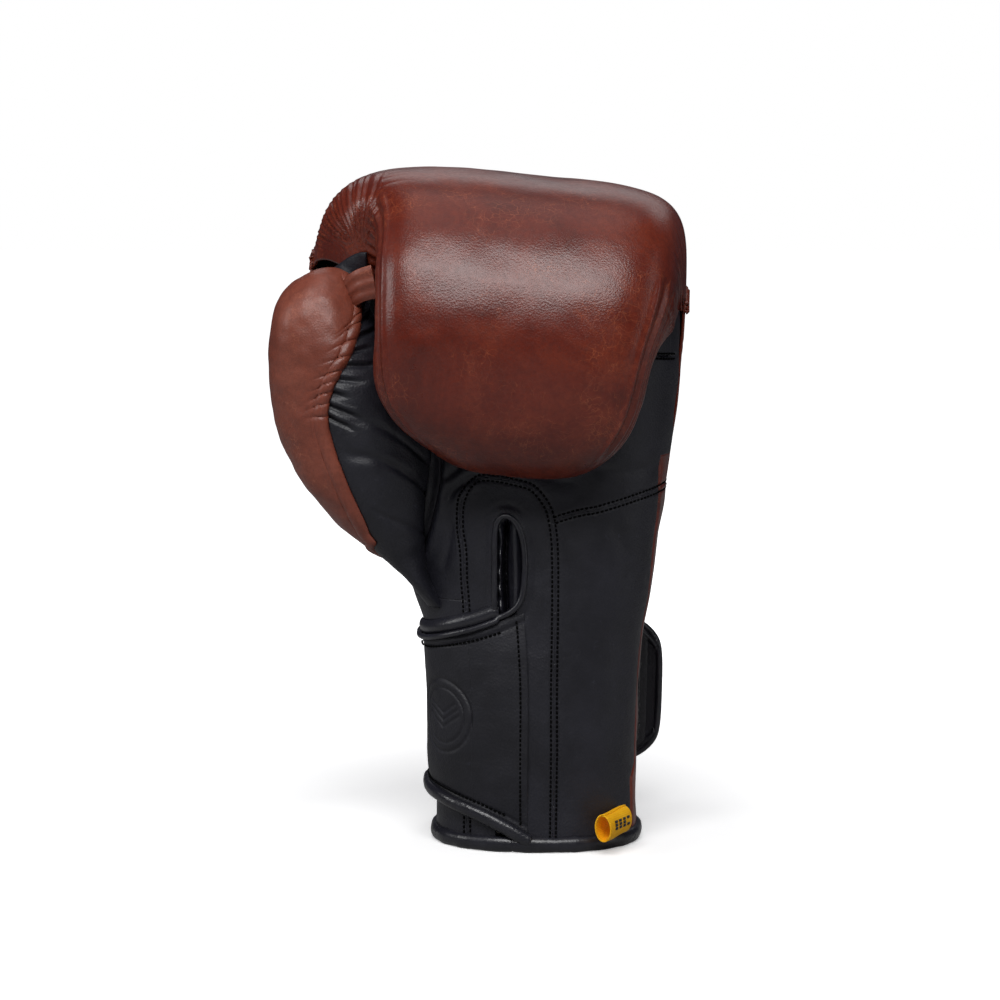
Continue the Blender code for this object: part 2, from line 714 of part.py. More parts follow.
def add_pivots(collection):
    def pieces(*starts):
        return [obj for obj in collection.objects if obj.name.startswith(starts)]

    def strap_hinge(length, degrees, *starts):
        return hang_on(f"strap_{length}_hinge", strap_point(degrees, 0.5, HINGE_UNDER), pieces(*starts), collection)

    tail = strap_hinge("tail", TAIL_HINGE, "strap_tail_", "hook_")
    side = strap_hinge("side", SIDE_HINGE, "strap_side_")
    front = strap_hinge("front", ROOT_HINGE, "strap_front_")
    for lower, upper in ((tail, side), (side, front)):
        lower.parent = upper
        lower.matrix_parent_inverse = Matrix.Translation(-upper.location)
    moving_thumb = [obj for obj in pieces("thumb_") if obj.name in THUMB_PIECES]
    hang_on("thumb_hinge", Vector(THUMB_HINGE), moving_thumb, collection)
    hang_on("label_hinge", body_point(LABEL_ANGLE, LABEL_Z, 0.9), pieces("size_label"), collection)


def centre_on_origin(*collections):
    for collection in collections:
        for obj in collection.objects:
            if obj.parent is None:
                obj.location -= Vector((CENTRE_X, CENTRE_Y, 0)) * MM


def main():
    clear_scene()
    make_materials()
    parts = make_collection("boxing_glove")
    cutters = make_collection("cutters")
    hand_room, thumb_room, beside_hand, thumb_way, slit = make_cutters(cutters)
    make_fist(parts, hand_room)
    make_hand(parts, hand_room, thumb_way, slit)
    make_cuff(parts, slit)
    cord("slit_binding", slit_binding_points(), 1.7, "black_binding", parts)
    make_strap(parts)
    make_thumb(parts, beside_hand, thumb_room, thumb_way)
    make_thumb_tab(parts)
    make_grip(parts)
    make_lining(parts, thumb_way)
    make_label(parts)
    add_pivots(parts)
    centre_on_origin(parts, cutters)


main()
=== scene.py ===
"""Looks for the boxing glove: sewn leather, gathers, seams, binding, strap and label on the CAD frame."""

import math

import bmesh
import bpy
import numpy as np
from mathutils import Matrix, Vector


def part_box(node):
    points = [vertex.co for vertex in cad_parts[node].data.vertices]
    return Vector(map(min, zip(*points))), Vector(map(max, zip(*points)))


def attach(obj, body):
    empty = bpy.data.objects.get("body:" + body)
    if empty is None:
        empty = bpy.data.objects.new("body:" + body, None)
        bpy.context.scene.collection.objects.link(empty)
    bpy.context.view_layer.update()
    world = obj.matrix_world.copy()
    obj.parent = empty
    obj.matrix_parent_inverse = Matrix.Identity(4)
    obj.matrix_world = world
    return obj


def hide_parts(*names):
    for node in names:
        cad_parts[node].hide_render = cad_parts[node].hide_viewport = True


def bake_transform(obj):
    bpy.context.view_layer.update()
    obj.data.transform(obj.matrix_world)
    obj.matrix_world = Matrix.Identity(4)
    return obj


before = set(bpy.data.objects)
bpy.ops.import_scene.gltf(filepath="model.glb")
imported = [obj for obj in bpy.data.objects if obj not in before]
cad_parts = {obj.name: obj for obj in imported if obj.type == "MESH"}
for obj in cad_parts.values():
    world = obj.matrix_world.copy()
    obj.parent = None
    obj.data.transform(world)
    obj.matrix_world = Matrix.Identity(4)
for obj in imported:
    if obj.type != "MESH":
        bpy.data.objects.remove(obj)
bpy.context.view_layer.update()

# The tables below are in millimetres from the cuff's axis at its mouth; the rim's box says where that is.
AXIS_OFF_RIM = (-0.00326, 0.0010)  # metres from the middle of the rim's box to the axis, in x and y
rim_low, rim_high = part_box("cuff_rim_binding")
rim_middle = (rim_low + rim_high) / 2
ORIGIN = np.array([rim_middle.x + AXIS_OFF_RIM[0], rim_middle.y + AXIS_OFF_RIM[1], rim_low.z])

# ---------------------------------------------------------------- shapes

BODY = (  # height, then the hand's left, right, front and back
    (0, -42.5, 49, -40, 38), (35, -42.5, 49, -40, 38), (75, -43.2, 50, -39.5, 38), (96, -47, 52, -38.5, 39),
    (114, -53, 55.5, -38, 41), (131, -56.5, 57.5, -38, 45), (150, -61, 60.5, -37.5, 48),
    (172, -66, 63, -36.5, 51), (195, -71, 66, -35, 54), (215, -76, 67.5, -34, 56), (245, -80, 67.5, -33, 58),
)
FIST = (  # station, y and z of the profile, left, right, depth of the sides, squareness left and right
    (0, 41, 114, -52.5, 56.5, 37, 2.6, 2.6), (1, 48, 150, -61, 61.5, 43, 2.6, 2.6),
    (2, 55, 195, -73, 67, 48, 2.6, 2.8), (3, 60, 235, -90, 70, 50, 2.5, 3.2),
    (4, 56, 270, -99, 70.5, 52, 2.5, 3.6),
    (5, 36, 295.5, -100, 70.5, 50, 2.7, 4.6), (6, 5, 305.8, -96, 70.5, 47, 3.0, 5.2),
    (7, -30, 304.6, -83.5, 69.5, 47, 3.8, 5.4), (8, -60, 292.5, -66.5, 67.5, 50, 5.5, 5.0),
    (9, -80, 266, -64, 64.2, 50, 6.0, 4.5), (10, -88, 236, -64, 56.5, 47, 5.5, 4.5),
    (11, -85, 206, -64.5, 51.2, 40, 4.4, 4.2), (12, -75, 186.5, -57, 45, 27, 3.2, 3.2),
    (13, -60, 175.5, -41, 33, 16, 2.8, 2.8), (14, -46, 178, -30, 22, 9, 2.8, 2.8),
    (15, -41, 190, -28, 18, 5, 3.0, 3.0),
)
THUMB = (  # height, then left, right, front and back
    (108, -45, -34, -28, -6), (121.5, -54.2, -44, -36, -12), (135, -69, -46, -43, -12),
    (148, -83.5, -46, -49, -10), (162, -95.6, -44, -53, -8), (175, -103.6, -43, -56, -6),
    (188.5, -109, -43, -57.5, -5), (202, -111.7, -46, -58, -5), (215, -113, -52, -58, -5),
    (229, -112.6, -61, -57, -7), (242, -109.8, -69, -54, -11),
    (250.2, -104.6, -73, -49, -16), (255.4, -98.4, -77, -43.5, -22), (258.2, -92.3, -82, -37.5, -28.5),
    (259, -88, -85, -34.2, -31.8),
)
BODY_POWER, THUMB_POWER, THUMB_INNER_POWER = 2.4, 2.3, 1.65


def rows(table, t):
    """Smooth columns of a table at the values t of its first column."""
    t = np.clip(np.asarray(t, float), table[0][0], table[-1][0])
    keys = np.array([r[0] for r in table], float)
    k = np.clip(np.searchsorted(keys, t, side="right") - 1, 0, len(keys) - 2)
    before, after = np.maximum(k - 1, 0), np.minimum(k + 2, len(keys) - 1)
    span = keys[k + 1] - keys[k]
    u = (t - keys[k]) / span
    out = []
    for column in range(1, len(table[0])):
        v = np.array([r[column] for r in table], float)
        slope_a = (v[k + 1] - v[before]) / (keys[k + 1] - keys[before]) * span
        slope_b = (v[after] - v[k]) / (keys[after] - keys[k]) * span
        out.append(
            v[k] * (2 * u**3 - 3 * u**2 + 1) + slope_a * (u**3 - 2 * u**2 + u)
            + v[k + 1] * (3 * u**2 - 2 * u**3) + slope_b * (u**3 - u**2)
        )
    return out


def ease(u):
    """0 below 0, 1 above 1, and a smooth step between."""
    u = np.clip(u, 0.0, 1.0)
    return u * u * (3 - 2 * u)


def blunt(v, power):
    """A sine or cosine bent towards a squarer outline: power 2 is round."""
    return np.sign(v) * np.abs(v) ** (2 / power)


def section(table, power, degrees, z, out):
    """Points round the level sections of a table of left, right, front and back."""
    left, right, front, back = rows(table, z)
    a = np.radians(degrees)
    x = (left + right) / 2 + ((right - left) / 2 + out) * blunt(np.cos(a), power)
    y = (front + back) / 2 + ((back - front) / 2 + out) * blunt(np.sin(a), power)
    return np.stack(np.broadcast_arrays(x, y, np.asarray(z, float)), -1)


def body(degrees, z, out=0.0):
    """Points round the cuff and hand, out millimetres above the leather."""
    return section(BODY, BODY_POWER, degrees, z, out)


def thumb(degrees, z, out=0.0):
    """The thumb's section is round outside and pointed towards the palm, which it runs into."""
    degrees, z = np.broadcast_arrays(np.asarray(degrees, float), np.asarray(z, float))
    power = np.where(np.cos(np.radians(degrees)) > 0, THUMB_INNER_POWER, THUMB_POWER)
    return section(THUMB, power, degrees, z, out)


def front_angle(x, z, table=BODY, power=BODY_POWER):
    """The angle at which a level section has this x on its palm side."""
    left, right, _, _ = rows(table, z)
    share = np.clip((x - (left + right) / 2) / ((right - left) / 2), -0.9999, 0.9999)
    c = np.sign(share) * np.abs(share) ** (power / 2)
    return 360 - np.degrees(np.arccos(c))


def fist_grid(stations, shares):
    """The fist's outside: stations along the profile, shares from -1 to 1 round each section by length."""
    y, z, left, right, depth, square_left, square_right = rows(FIST, stations)
    y2, z2 = rows(FIST, stations + 0.02)[:2]
    y1, z1 = rows(FIST, stations - 0.02)[:2]
    along = np.stack([y2 - y1, z2 - z1], -1)
    along /= np.linalg.norm(along, axis=1, keepdims=True)
    normal = np.stack([along[:, 1], -along[:, 0]], -1)
    fine = np.radians(np.linspace(0, 90, 400))
    grid = np.zeros((len(stations), len(shares), 3))
    for i in range(len(stations)):
        half = (right[i] - left[i]) / 2
        for side, power in ((-1, square_left[i]), (1, square_right[i])):
            lateral = half * blunt(np.sin(fine), power)
            sunk = depth[i] * (1 - blunt(np.cos(fine), power))
            step = np.concatenate([[0], np.cumsum(np.hypot(np.diff(lateral), np.diff(sunk)))])
            chosen = np.sign(shares) == side if side == -1 else shares >= 0
            at = np.abs(shares[chosen]) * step[-1]
            lat, sink = np.interp(at, step, lateral), np.interp(at, step, sunk)
            grid[i, chosen, 0] = (left[i] + right[i]) / 2 + side * lat
            grid[i, chosen, 1] = y[i] - normal[i, 0] * sink
            grid[i, chosen, 2] = z[i] - normal[i, 1] * sink
    lean = 0.093 * ease((stations - 1.0) / 3.5)[:, None]
    grid[:, :, 2] -= lean * (grid[:, :, 0] + 58)
    return grid


# ---------------------------------------------------------------- meshes


def to_world(points):
    """The tables' millimetres as metres in the frame."""
    return np.asarray(points) * 0.001 + ORIGIN


def grid_normals(points):
    n = np.cross(np.gradient(points, axis=0), np.gradient(points, axis=1))
    return n / np.maximum(np.linalg.norm(n, axis=2, keepdims=True), 1e-9)


def mesh_object(name, verts, faces, material):
    mesh = bpy.data.meshes.new(name)
    mesh.from_pydata(np.asarray(verts).tolist(), [], [list(map(int, f)) for f in faces])
    mesh.validate()
    mesh.shade_smooth()
    obj = bpy.data.objects.new(name, mesh)
    bpy.context.scene.collection.objects.link(obj)
    mesh.materials.append(material)
    return obj


def grid_object(name, points, material, keep=None, flip=False, wrap=False):
    """A sheet over points (rows, columns, 3); keep picks faces, wrap joins the last column to the first."""
    m, n = points.shape[:2]
    index = np.arange(m * n).reshape(m, n)
    if wrap:
        index = np.concatenate([index, index[:, :1]], 1)
    quads = np.stack([index[:-1, :-1], index[1:, :-1], index[1:, 1:], index[:-1, 1:]], -1)
    if keep is not None:
        quads = quads[keep]
    quads = quads.reshape(-1, 4)
    if flip:
        quads = quads[:, ::-1]
    used = np.unique(quads)
    renumber = np.zeros(m * n, int)
    renumber[used] = np.arange(len(used))
    return mesh_object(name, to_world(points.reshape(-1, 3)[used]), renumber[quads], material)


def thicken(obj, thickness, offset=-1.0):
    """Give a sheet its leather's thickness, which goes inwards unless the offset says otherwise."""
    solid = obj.modifiers.new("leather", "SOLIDIFY")
    solid.thickness = thickness * 0.001
    solid.offset = offset
    solid.use_even_offset = False


def turn_along(obj, way):
    """Turn a sheet's faces so that its middle one looks the given way."""
    middle = obj.data.polygons[len(obj.data.polygons) // 2]
    if middle.normal @ Vector(way) < 0:
        obj.data.flip_normals()


def finish_piece(obj, body_name, slot, *nodes):
    """Fix a piece to its body and hide the CAD nodes that it stands in for."""
    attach(obj, body_name)
    if nodes:
        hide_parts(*nodes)


# ---------------------------------------------------------------- materials


class Nodes:
    """A short way to write a node tree."""

    def __init__(self, name, coat=0.0, sheen=0.0):
        self.mat = bpy.data.materials.new(name)
        self.mat.use_nodes = True
        self.tree = self.mat.node_tree
        self.shader = self.tree.nodes["Principled BSDF"]
        self.shader.inputs["Coat Weight"].default_value = coat
        self.shader.inputs["Coat Roughness"].default_value = 0.28
        self.shader.inputs["Sheen Weight"].default_value = sheen
        self.where = self.add("ShaderNodeTexCoord").outputs["Object"]

    def add(self, kind):
        return self.tree.nodes.new(kind)

    def put(self, value, socket):
        """Link an output to a socket, or set the socket to a number or colour."""
        if hasattr(value, "is_linked"):
            self.link(value, socket)
        else:
            socket.default_value = (*value, 1) if isinstance(value, tuple) else value

    def link(self, a, b):
        self.tree.links.new(a, b)

    def stretched(self, scale):
        mapping = self.add("ShaderNodeMapping")
        mapping.inputs["Scale"].default_value = scale
        self.link(self.where, mapping.inputs["Vector"])
        return mapping.outputs[0]

    def noise(self, scale, detail=4.0, rough=0.55, vector=None, distortion=0.0):
        node = self.add("ShaderNodeTexNoise")
        node.inputs["Scale"].default_value = scale
        node.inputs["Detail"].default_value = detail
        node.inputs["Roughness"].default_value = rough
        node.inputs["Distortion"].default_value = distortion
        self.link(vector or self.where, node.inputs["Vector"])
        return node.outputs["Fac"]

    def noise_colour(self, scale):
        node = self.add("ShaderNodeTexNoise")
        node.inputs["Scale"].default_value = scale
        node.inputs["Detail"].default_value = 4
        self.link(self.where, node.inputs["Vector"])
        return node.outputs["Color"]

    def cells(self, scale, feature="DISTANCE_TO_EDGE", vector=None):
        node = self.add("ShaderNodeTexVoronoi")
        node.feature = feature
        node.inputs["Scale"].default_value = scale
        self.link(vector or self.where, node.inputs["Vector"])
        return node.outputs["Distance"]

    def ramp(self, value, *stops):
        """A colour for each value, from stops of (value, colour)."""
        node = self.add("ShaderNodeValToRGB")
        while len(node.color_ramp.elements) < len(stops):
            node.color_ramp.elements.new(0.5)
        for element, (at, colour) in zip(node.color_ramp.elements, stops):
            element.position = at
            element.color = (*colour, 1)
        self.link(value, node.inputs[0])
        return node.outputs[0]

    def grey(self, value, low, high, to_low, to_high):
        """A value's range low to high stretched to another range, and held at its ends."""
        node = self.add("ShaderNodeMapRange")
        for key, number in zip(("From Min", "From Max", "To Min", "To Max"), (low, high, to_low, to_high)):
            node.inputs[key].default_value = number
        self.link(value, node.inputs["Value"])
        return node.outputs[0]

    def blend(self, factor, a, b):
        node = self.add("ShaderNodeMix")
        node.data_type = "RGBA"
        for key, value in ((0, factor), (6, a), (7, b)):
            self.put(value, node.inputs[key])
        return node.outputs[2]

    def maths(self, kind, a, b):
        node = self.add("ShaderNodeMath")
        node.operation = kind
        self.put(a, node.inputs[0])
        self.put(b, node.inputs[1])
        return node.outputs[0]

    def bump(self, height, distance, strength=1.0, under=None):
        node = self.add("ShaderNodeBump")
        node.inputs["Distance"].default_value = distance
        node.inputs["Strength"].default_value = strength
        self.link(height, node.inputs["Height"])
        if under:
            self.link(under, node.inputs["Normal"])
        return node.outputs[0]

    def finish(self, colour, rough, normal):
        self.put(colour, self.shader.inputs["Base Color"])
        self.put(rough, self.shader.inputs["Roughness"])
        self.put(normal, self.shader.inputs["Normal"])
        self.put(normal, self.shader.inputs["Coat Normal"])
        return self.mat


def brown_leather(name, dark, middle, light, scratch, rough):
    """Waxed pull-up leather: mottled brown, pebbled, with fine pale veins, scratches and worn ridges."""
    n = Nodes(name, coat=0.16)
    n.shader.inputs["Coat Roughness"].default_value = 0.24
    cloud = n.noise(22, 7, 0.66, distortion=0.8)
    colour = n.ramp(cloud, (0.28, dark), (0.50, middle), (0.74, light))
    fine = n.noise(420, 6, 0.72)
    colour = n.blend(n.grey(fine, 0.42, 0.68, 0.0, 0.5), colour, dark)
    patch = n.noise(34, 4, 0.6)
    bent = n.blend(0.022, n.where, n.noise_colour(60))
    for scale, edge, low, high, amount in ((150, 0.022, 0.46, 0.62, 0.42), (310, 0.035, 0.50, 0.66, 0.36)):
        veins = n.cells(scale, vector=bent)
        mark = n.maths("MULTIPLY", n.grey(veins, 0.0, edge, 1.0, 0.0), n.grey(patch, low, high, 0.0, 1.0))
        colour = n.blend(n.maths("MULTIPLY", mark, amount), colour, scratch)
    rubs = n.noise(260, 8, 0.8, vector=n.stretched((1.0, 1.0, 0.12)))
    colour = n.blend(n.grey(rubs, 0.62, 0.76, 0.0, 0.34), colour, scratch)
    across = n.noise(230, 8, 0.8, vector=n.stretched((0.14, 0.5, 1.0)))
    colour = n.blend(n.grey(across, 0.64, 0.78, 0.0, 0.28), colour, scratch)
    pebble = n.cells(1150, "F1")
    grain = n.maths("ADD", n.maths("MULTIPLY", pebble, 0.8), n.maths("MULTIPLY", fine, 0.35))
    wave = n.noise(60, 4, 0.6, distortion=0.4)
    normal = n.bump(grain, 0.00013, 0.6, n.bump(wave, 0.00022, 0.4))
    mixed = n.maths("ADD", n.maths("MULTIPLY", cloud, 0.5), n.maths("MULTIPLY", fine, 0.5))
    return n.finish(colour, n.grey(mixed, 0.3, 0.7, rough - 0.07, rough + 0.12), normal)


def black_leather(name, base, tint, rough, grain_depth, coat=0.0, crease=0.0009):
    """Finely pebbled black leather with soft creases and pale dust."""
    n = Nodes(name, coat=coat)
    cloud = n.noise(34, 5, 0.6)
    colour = n.ramp(cloud, (0.35, base), (0.68, tint))
    dust = n.noise(240, 6, 0.7)
    pale = tuple(min(1.0, c * 3.2 + 0.004) for c in tint)
    colour = n.blend(n.grey(dust, 0.62, 0.74, 0.0, 0.35), colour, pale)
    pebble = n.cells(1050, "F1")
    fine = n.noise(500, 4, 0.6)
    grain = n.maths("ADD", pebble, n.maths("MULTIPLY", fine, 0.5))
    wave = n.noise(58, 5, 0.62, distortion=0.8)
    normal = n.bump(grain, grain_depth, 0.8, n.bump(wave, crease, 0.55))
    return n.finish(colour, n.grey(cloud, 0.3, 0.7, rough - 0.06, rough + 0.1), normal)


def woven(name, base, tint, scale, rough, sheen=0.1, shine=0.5):
    """A plain weave: two crossed ribs, with a little dust."""
    n = Nodes(name, sheen=sheen)
    n.shader.inputs["Specular IOR Level"].default_value = shine
    ribs = []
    for direction in ("DIAGONAL", "Z"):
        wave = n.add("ShaderNodeTexWave")
        wave.bands_direction = direction
        wave.inputs["Scale"].default_value = scale
        wave.inputs["Distortion"].default_value = 0.4
        n.link(n.where, wave.inputs["Vector"])
        ribs.append(wave.outputs["Fac"])
    weave = n.maths("MULTIPLY", ribs[0], ribs[1])
    dust = n.noise(150, 5, 0.7)
    colour = n.blend(n.grey(weave, 0.0, 1.0, 0.0, 1.0), base, tint)
    colour = n.blend(n.grey(dust, 0.55, 0.8, 0.0, 0.3), colour, tuple(c * 0.4 for c in base))
    return n.finish(colour, rough, n.bump(weave, 0.00025, 0.8))


def foam_material(name):
    """Open-celled foam, yellow-grey, with painted shade darkening its pores."""
    n = Nodes(name)
    holes = n.cells(620, "F1")
    cloud = n.noise(30, 5, 0.6)
    colour = n.ramp(cloud, (0.3, (0.42, 0.38, 0.30)), (0.7, (0.58, 0.54, 0.45)))
    # painted shade: the colour darkens by half towards each pore's sunken middle
    colour = n.blend(n.grey(holes, 0.0, 0.25, 0.5, 0.0), colour, (0.28, 0.25, 0.19))
    return n.finish(colour, 0.92, n.bump(holes, 0.0006, 0.9))


def pile_material(name):
    """Hook-and-loop pile: matte, fuzzy, with tufts catching the light."""
    n = Nodes(name, sheen=0.35)
    tufts = n.noise(900, 6, 0.8)
    clumps = n.noise(160, 4, 0.6)
    colour = n.ramp(tufts, (0.4, (0.004, 0.004, 0.005)), (0.75, (0.032, 0.032, 0.036)))
    return n.finish(colour, 0.95, n.bump(tufts, 0.0009, 1.0, n.bump(clumps, 0.0008, 0.6)))


def ribbon_material(name):
    """Finely ribbed yellow satin ribbon with a painted glow: a little emission brightens it, though it is no
    lamp.
    """
    n = Nodes(name)
    thread = n.add("ShaderNodeTexWave")
    thread.bands_direction = "Z"
    thread.inputs["Scale"].default_value = 420
    n.link(n.where, thread.inputs["Vector"])
    cloud = n.noise(70, 5, 0.65)
    colour = n.ramp(cloud, (0.3, (0.80, 0.36, 0.004)), (0.55, (0.92, 0.46, 0.008)), (0.8, (0.95, 0.54, 0.02)))
    # painted glow: this emission lifts the ribbon's brightness beyond what the lamps give it
    n.shader.inputs["Emission Color"].default_value = (0.95, 0.46, 0.01, 1)
    n.shader.inputs["Emission Strength"].default_value = 0.05
    n.shader.inputs["Specular IOR Level"].default_value = 0.2
    return n.finish(colour, 0.6, n.bump(thread.outputs["Fac"], 0.00012, 0.7))


BROWN = brown_leather("brown_leather", (0.062, 0.0062, 0.0024), (0.130, 0.0145, 0.0052), (0.21, 0.033, 0.012),
                      (0.44, 0.115, 0.045), 0.31)
THUMB_BROWN = brown_leather("thumb_leather", (0.12, 0.025, 0.013), (0.20, 0.045, 0.024), (0.28, 0.073, 0.042),
                            (0.48, 0.17, 0.09), 0.44)
BLACK = black_leather("black_leather", (0.0072, 0.0072, 0.0112), (0.0142, 0.0142, 0.0218), 0.46, 0.00014)
STRAP_BLACK = black_leather(
    "strap_leather", (0.0048, 0.0048, 0.0078), (0.0095, 0.0095, 0.0152), 0.50, 0.00014, crease=0.0004
)
GLOSS = black_leather(
    "black_binding", (0.0065, 0.0065, 0.0095), (0.015, 0.015, 0.022), 0.30, 0.00008, coat=0.35, crease=0.0006
)
THREAD = woven("thread", (0.0004, 0.0004, 0.0005), (0.0012, 0.0012, 0.0014), 900, 0.95, 0.0, 0.12)
LINING = woven("lining", (0.014, 0.014, 0.017), (0.034, 0.034, 0.039), 520, 0.82)
FOAM = foam_material("foam")
PILE = pile_material("hook_and_loop")
YELLOW = ribbon_material("label_ribbon")
MARKS = woven("label_marks", (0.012, 0.010, 0.006), (0.03, 0.025, 0.014), 700, 0.6)


# ---------------------------------------------------------------- lines sewn and folded, as (x, z)

SEAM_THUMB = ((-52, 182), (-50.7, 164), (-53.4, 151.4), (-56.4, 137), (-58, 126))
SEAM_LEFT = (
    (-25.9, 163.5), (-29, 156.2), (-29.5, 145), (-28.1, 135.2), (-27.7, 122.2), (-26.9, 108.7), (-26.5, 3),
)
SEAM_ARCH = (
    (-25.9, 163.5), (-22.5, 166.6), (-19.6, 167.6), (-13.4, 167.4), (-4.9, 165.7), (2, 163.7), (6.6, 159.3),
    (10.1, 153.6), (11.9, 145.6), (12.8, 135.8), (12.9, 103.8), (12.6, 74.4), (12.6, 42.5), (12.3, 3),
)
SEAM_RIGHT = ((12.2, 148.8), (21.6, 151.7), (32.6, 153.7), (50.2, 158.5), (59.1, 160.9), (66, 163))
SEAM_SIDE = ((50, 221.2), (57.4, 220.6), (65, 220))
SLIT_EDGE = (
    (-13.6, 109.5), (-13.6, 131), (-13.5, 143), (-12.4, 148.4), (-9.6, 151), (-6, 149.8), (-3.6, 146.6),
    (-1.9, 142.5), (-0.7, 135.8), (-0.3, 127.8), (-0.9, 120.2), (-1.8, 114.2), (-4, 109.8),
)
SLIT_TO_STRAP = ((-0.3, 127.8), (-0.8, 120.2), (-1.6, 115.0), (-3.6, 110.8), (-7.6, 107.4), (-12, 105.6))
PALM_FOLD = (
    (-39.4, 180), (-39.6, 172), (-39.9, 165.1), (-41.8, 155.6), (-45.2, 142.7), (-49.3, 131.6), (-52, 122),
)
FOLDS = (  # line, width, depth
    (PALM_FOLD, 2.1, 2.6),
    (((-20, 169.5), (-27, 166), (-33, 161), (-38.1, 155.8)), 1.9, 1.1),
    (((-27.7, 174), (-33, 169.5), (-37.2, 165.2)), 1.6, 0.8),
    (((-46, 172), (-47.5, 158), (-50, 146)), 1.8, 0.7),
    (((-33, 150), (-34.5, 138), (-38, 124)), 2.4, 0.6),
    (((-13, 176), (0, 172), (12, 167), (24, 164)), 3.0, 0.5),
    (((16, 140), (21, 124), (22, 108)), 3.2, 0.4),
    (((36, 150), (44, 134), (46, 116)), 3.4, 0.5),
    (((28, 172), (44, 170), (60, 172)), 2.6, 0.5),
)
STRAP = (  # degrees round the cuff, then height of the strap's lower and upper edge and how far it stands off
    (42, 26.5, 93.5, 25.4), (58, 27, 93.5, 14.8), (74, 28, 93.5, 8.6), (90, 28.5, 93.5, 7.2),
    (138, 28, 93.5, 6.6), (165, 27, 93, 5.4), (190, 25, 92.8, 4.0), (215, 23.2, 94.5, 3.8),
    (243, 17.8, 99.3, 3.2), (258, 12.2, 104, 2.4), (265.5, 8, 107.6, 1.8), (269, 5.6, 109.5, 1.5),
)
STRAP_START, STRAP_SPLITS, STRAP_STOP, STRAP_ROUND = 268.5, (240.0, 176.0), 42.0, 58.0
EMBLEM_AT, EMBLEM_HEIGHT, EMBLEM_RADIUS = 217.0, 60.0, 16.5
TUFT = 0.16  # how far hooks and pile stick out of line
STITCH_OFF, STITCH_STEP, STITCH_LENGTH, STITCH_WIDTH = 1.35, 2.1, 1.6, 0.46
THUMB_SEAM = (  # height, then x of the seam on the thumb's palm side
    (136, -64), (143, -69.3), (150, -71.6), (156.8, -74.4), (163.6, -77.3), (170.3, -79.7), (177, -82.2),
    (183.6, -84.2), (190.2, -85.9), (196.8, -86.4), (203.4, -85.3), (209.9, -83), (216.4, -79.5),
    (222.9, -75.7), (229.3, -73.5), (235.7, -72.3), (242, -72.2), (250, -74.5), (257, -79),
)


def smooth_line(line, step=0.5):
    """A rounded version of a polyline, as evenly spaced points."""
    p = np.array(line, float)
    t = np.concatenate([[0], np.cumsum(np.linalg.norm(np.diff(p, axis=0), axis=1))])
    table = [(t[i], *p[i]) for i in range(len(p))]
    fine = np.linspace(0, t[-1], max(4, int(t[-1] / 0.25)))
    out = np.stack(rows(table, fine), -1)
    t = np.concatenate([[0], np.cumsum(np.linalg.norm(np.diff(out, axis=0), axis=1))])
    even = np.linspace(0, t[-1], max(2, int(round(t[-1] / step)) + 1))
    return np.stack([np.interp(even, t, out[:, i]) for i in range(out.shape[1])], -1)


def reach(x, z, line, limit=14.0):
    """Distance from each (x, z) to a line, the way along it, and its side: left of the line is positive."""
    points = smooth_line(line, 1.0)
    best = np.full(x.shape, limit)
    way = np.zeros(x.shape)
    side = np.ones(x.shape)
    box = (x > points[:, 0].min() - limit) & (x < points[:, 0].max() + limit)
    box &= (z > points[:, 1].min() - limit) & (z < points[:, 1].max() + limit)
    px, pz = x[box], z[box]
    b, w, sd = best[box], way[box], side[box]
    run = 0.0
    for (ax, az), (bx, bz) in zip(points[:-1], points[1:]):
        dx, dz = bx - ax, bz - az
        span = dx * dx + dz * dz
        u = np.clip(((px - ax) * dx + (pz - az) * dz) / span, 0, 1)
        ex, ez = px - ax - dx * u, pz - az - dz * u
        d = np.hypot(ex, ez)
        closer = d < b
        b = np.where(closer, d, b)
        w = np.where(closer, run + u * math.sqrt(span), w)
        sd = np.where(closer, np.sign(dx * ez - dz * ex), sd)
        run += math.sqrt(span)
    best[box], way[box], side[box] = b, w, sd
    return best, way, side


def ripples(points, wavelength, seed, count=22):
    """Smooth irregular waves over points (..., 3), about -1 to 1."""
    pick = np.random.default_rng(seed)
    total = np.zeros(points.shape[:-1])
    for _ in range(count):
        way = pick.normal(size=3)
        way *= 2 * math.pi / (wavelength * pick.uniform(0.6, 1.7)) / np.linalg.norm(way)
        total += np.sin(points @ way + pick.uniform(0, 2 * math.pi))
    return total / math.sqrt(count) * 0.9


def bell(distance, width):
    """1 at distance 0, falling smoothly to nearly 0 at twice the width."""
    return np.exp(-((distance / width) ** 2))


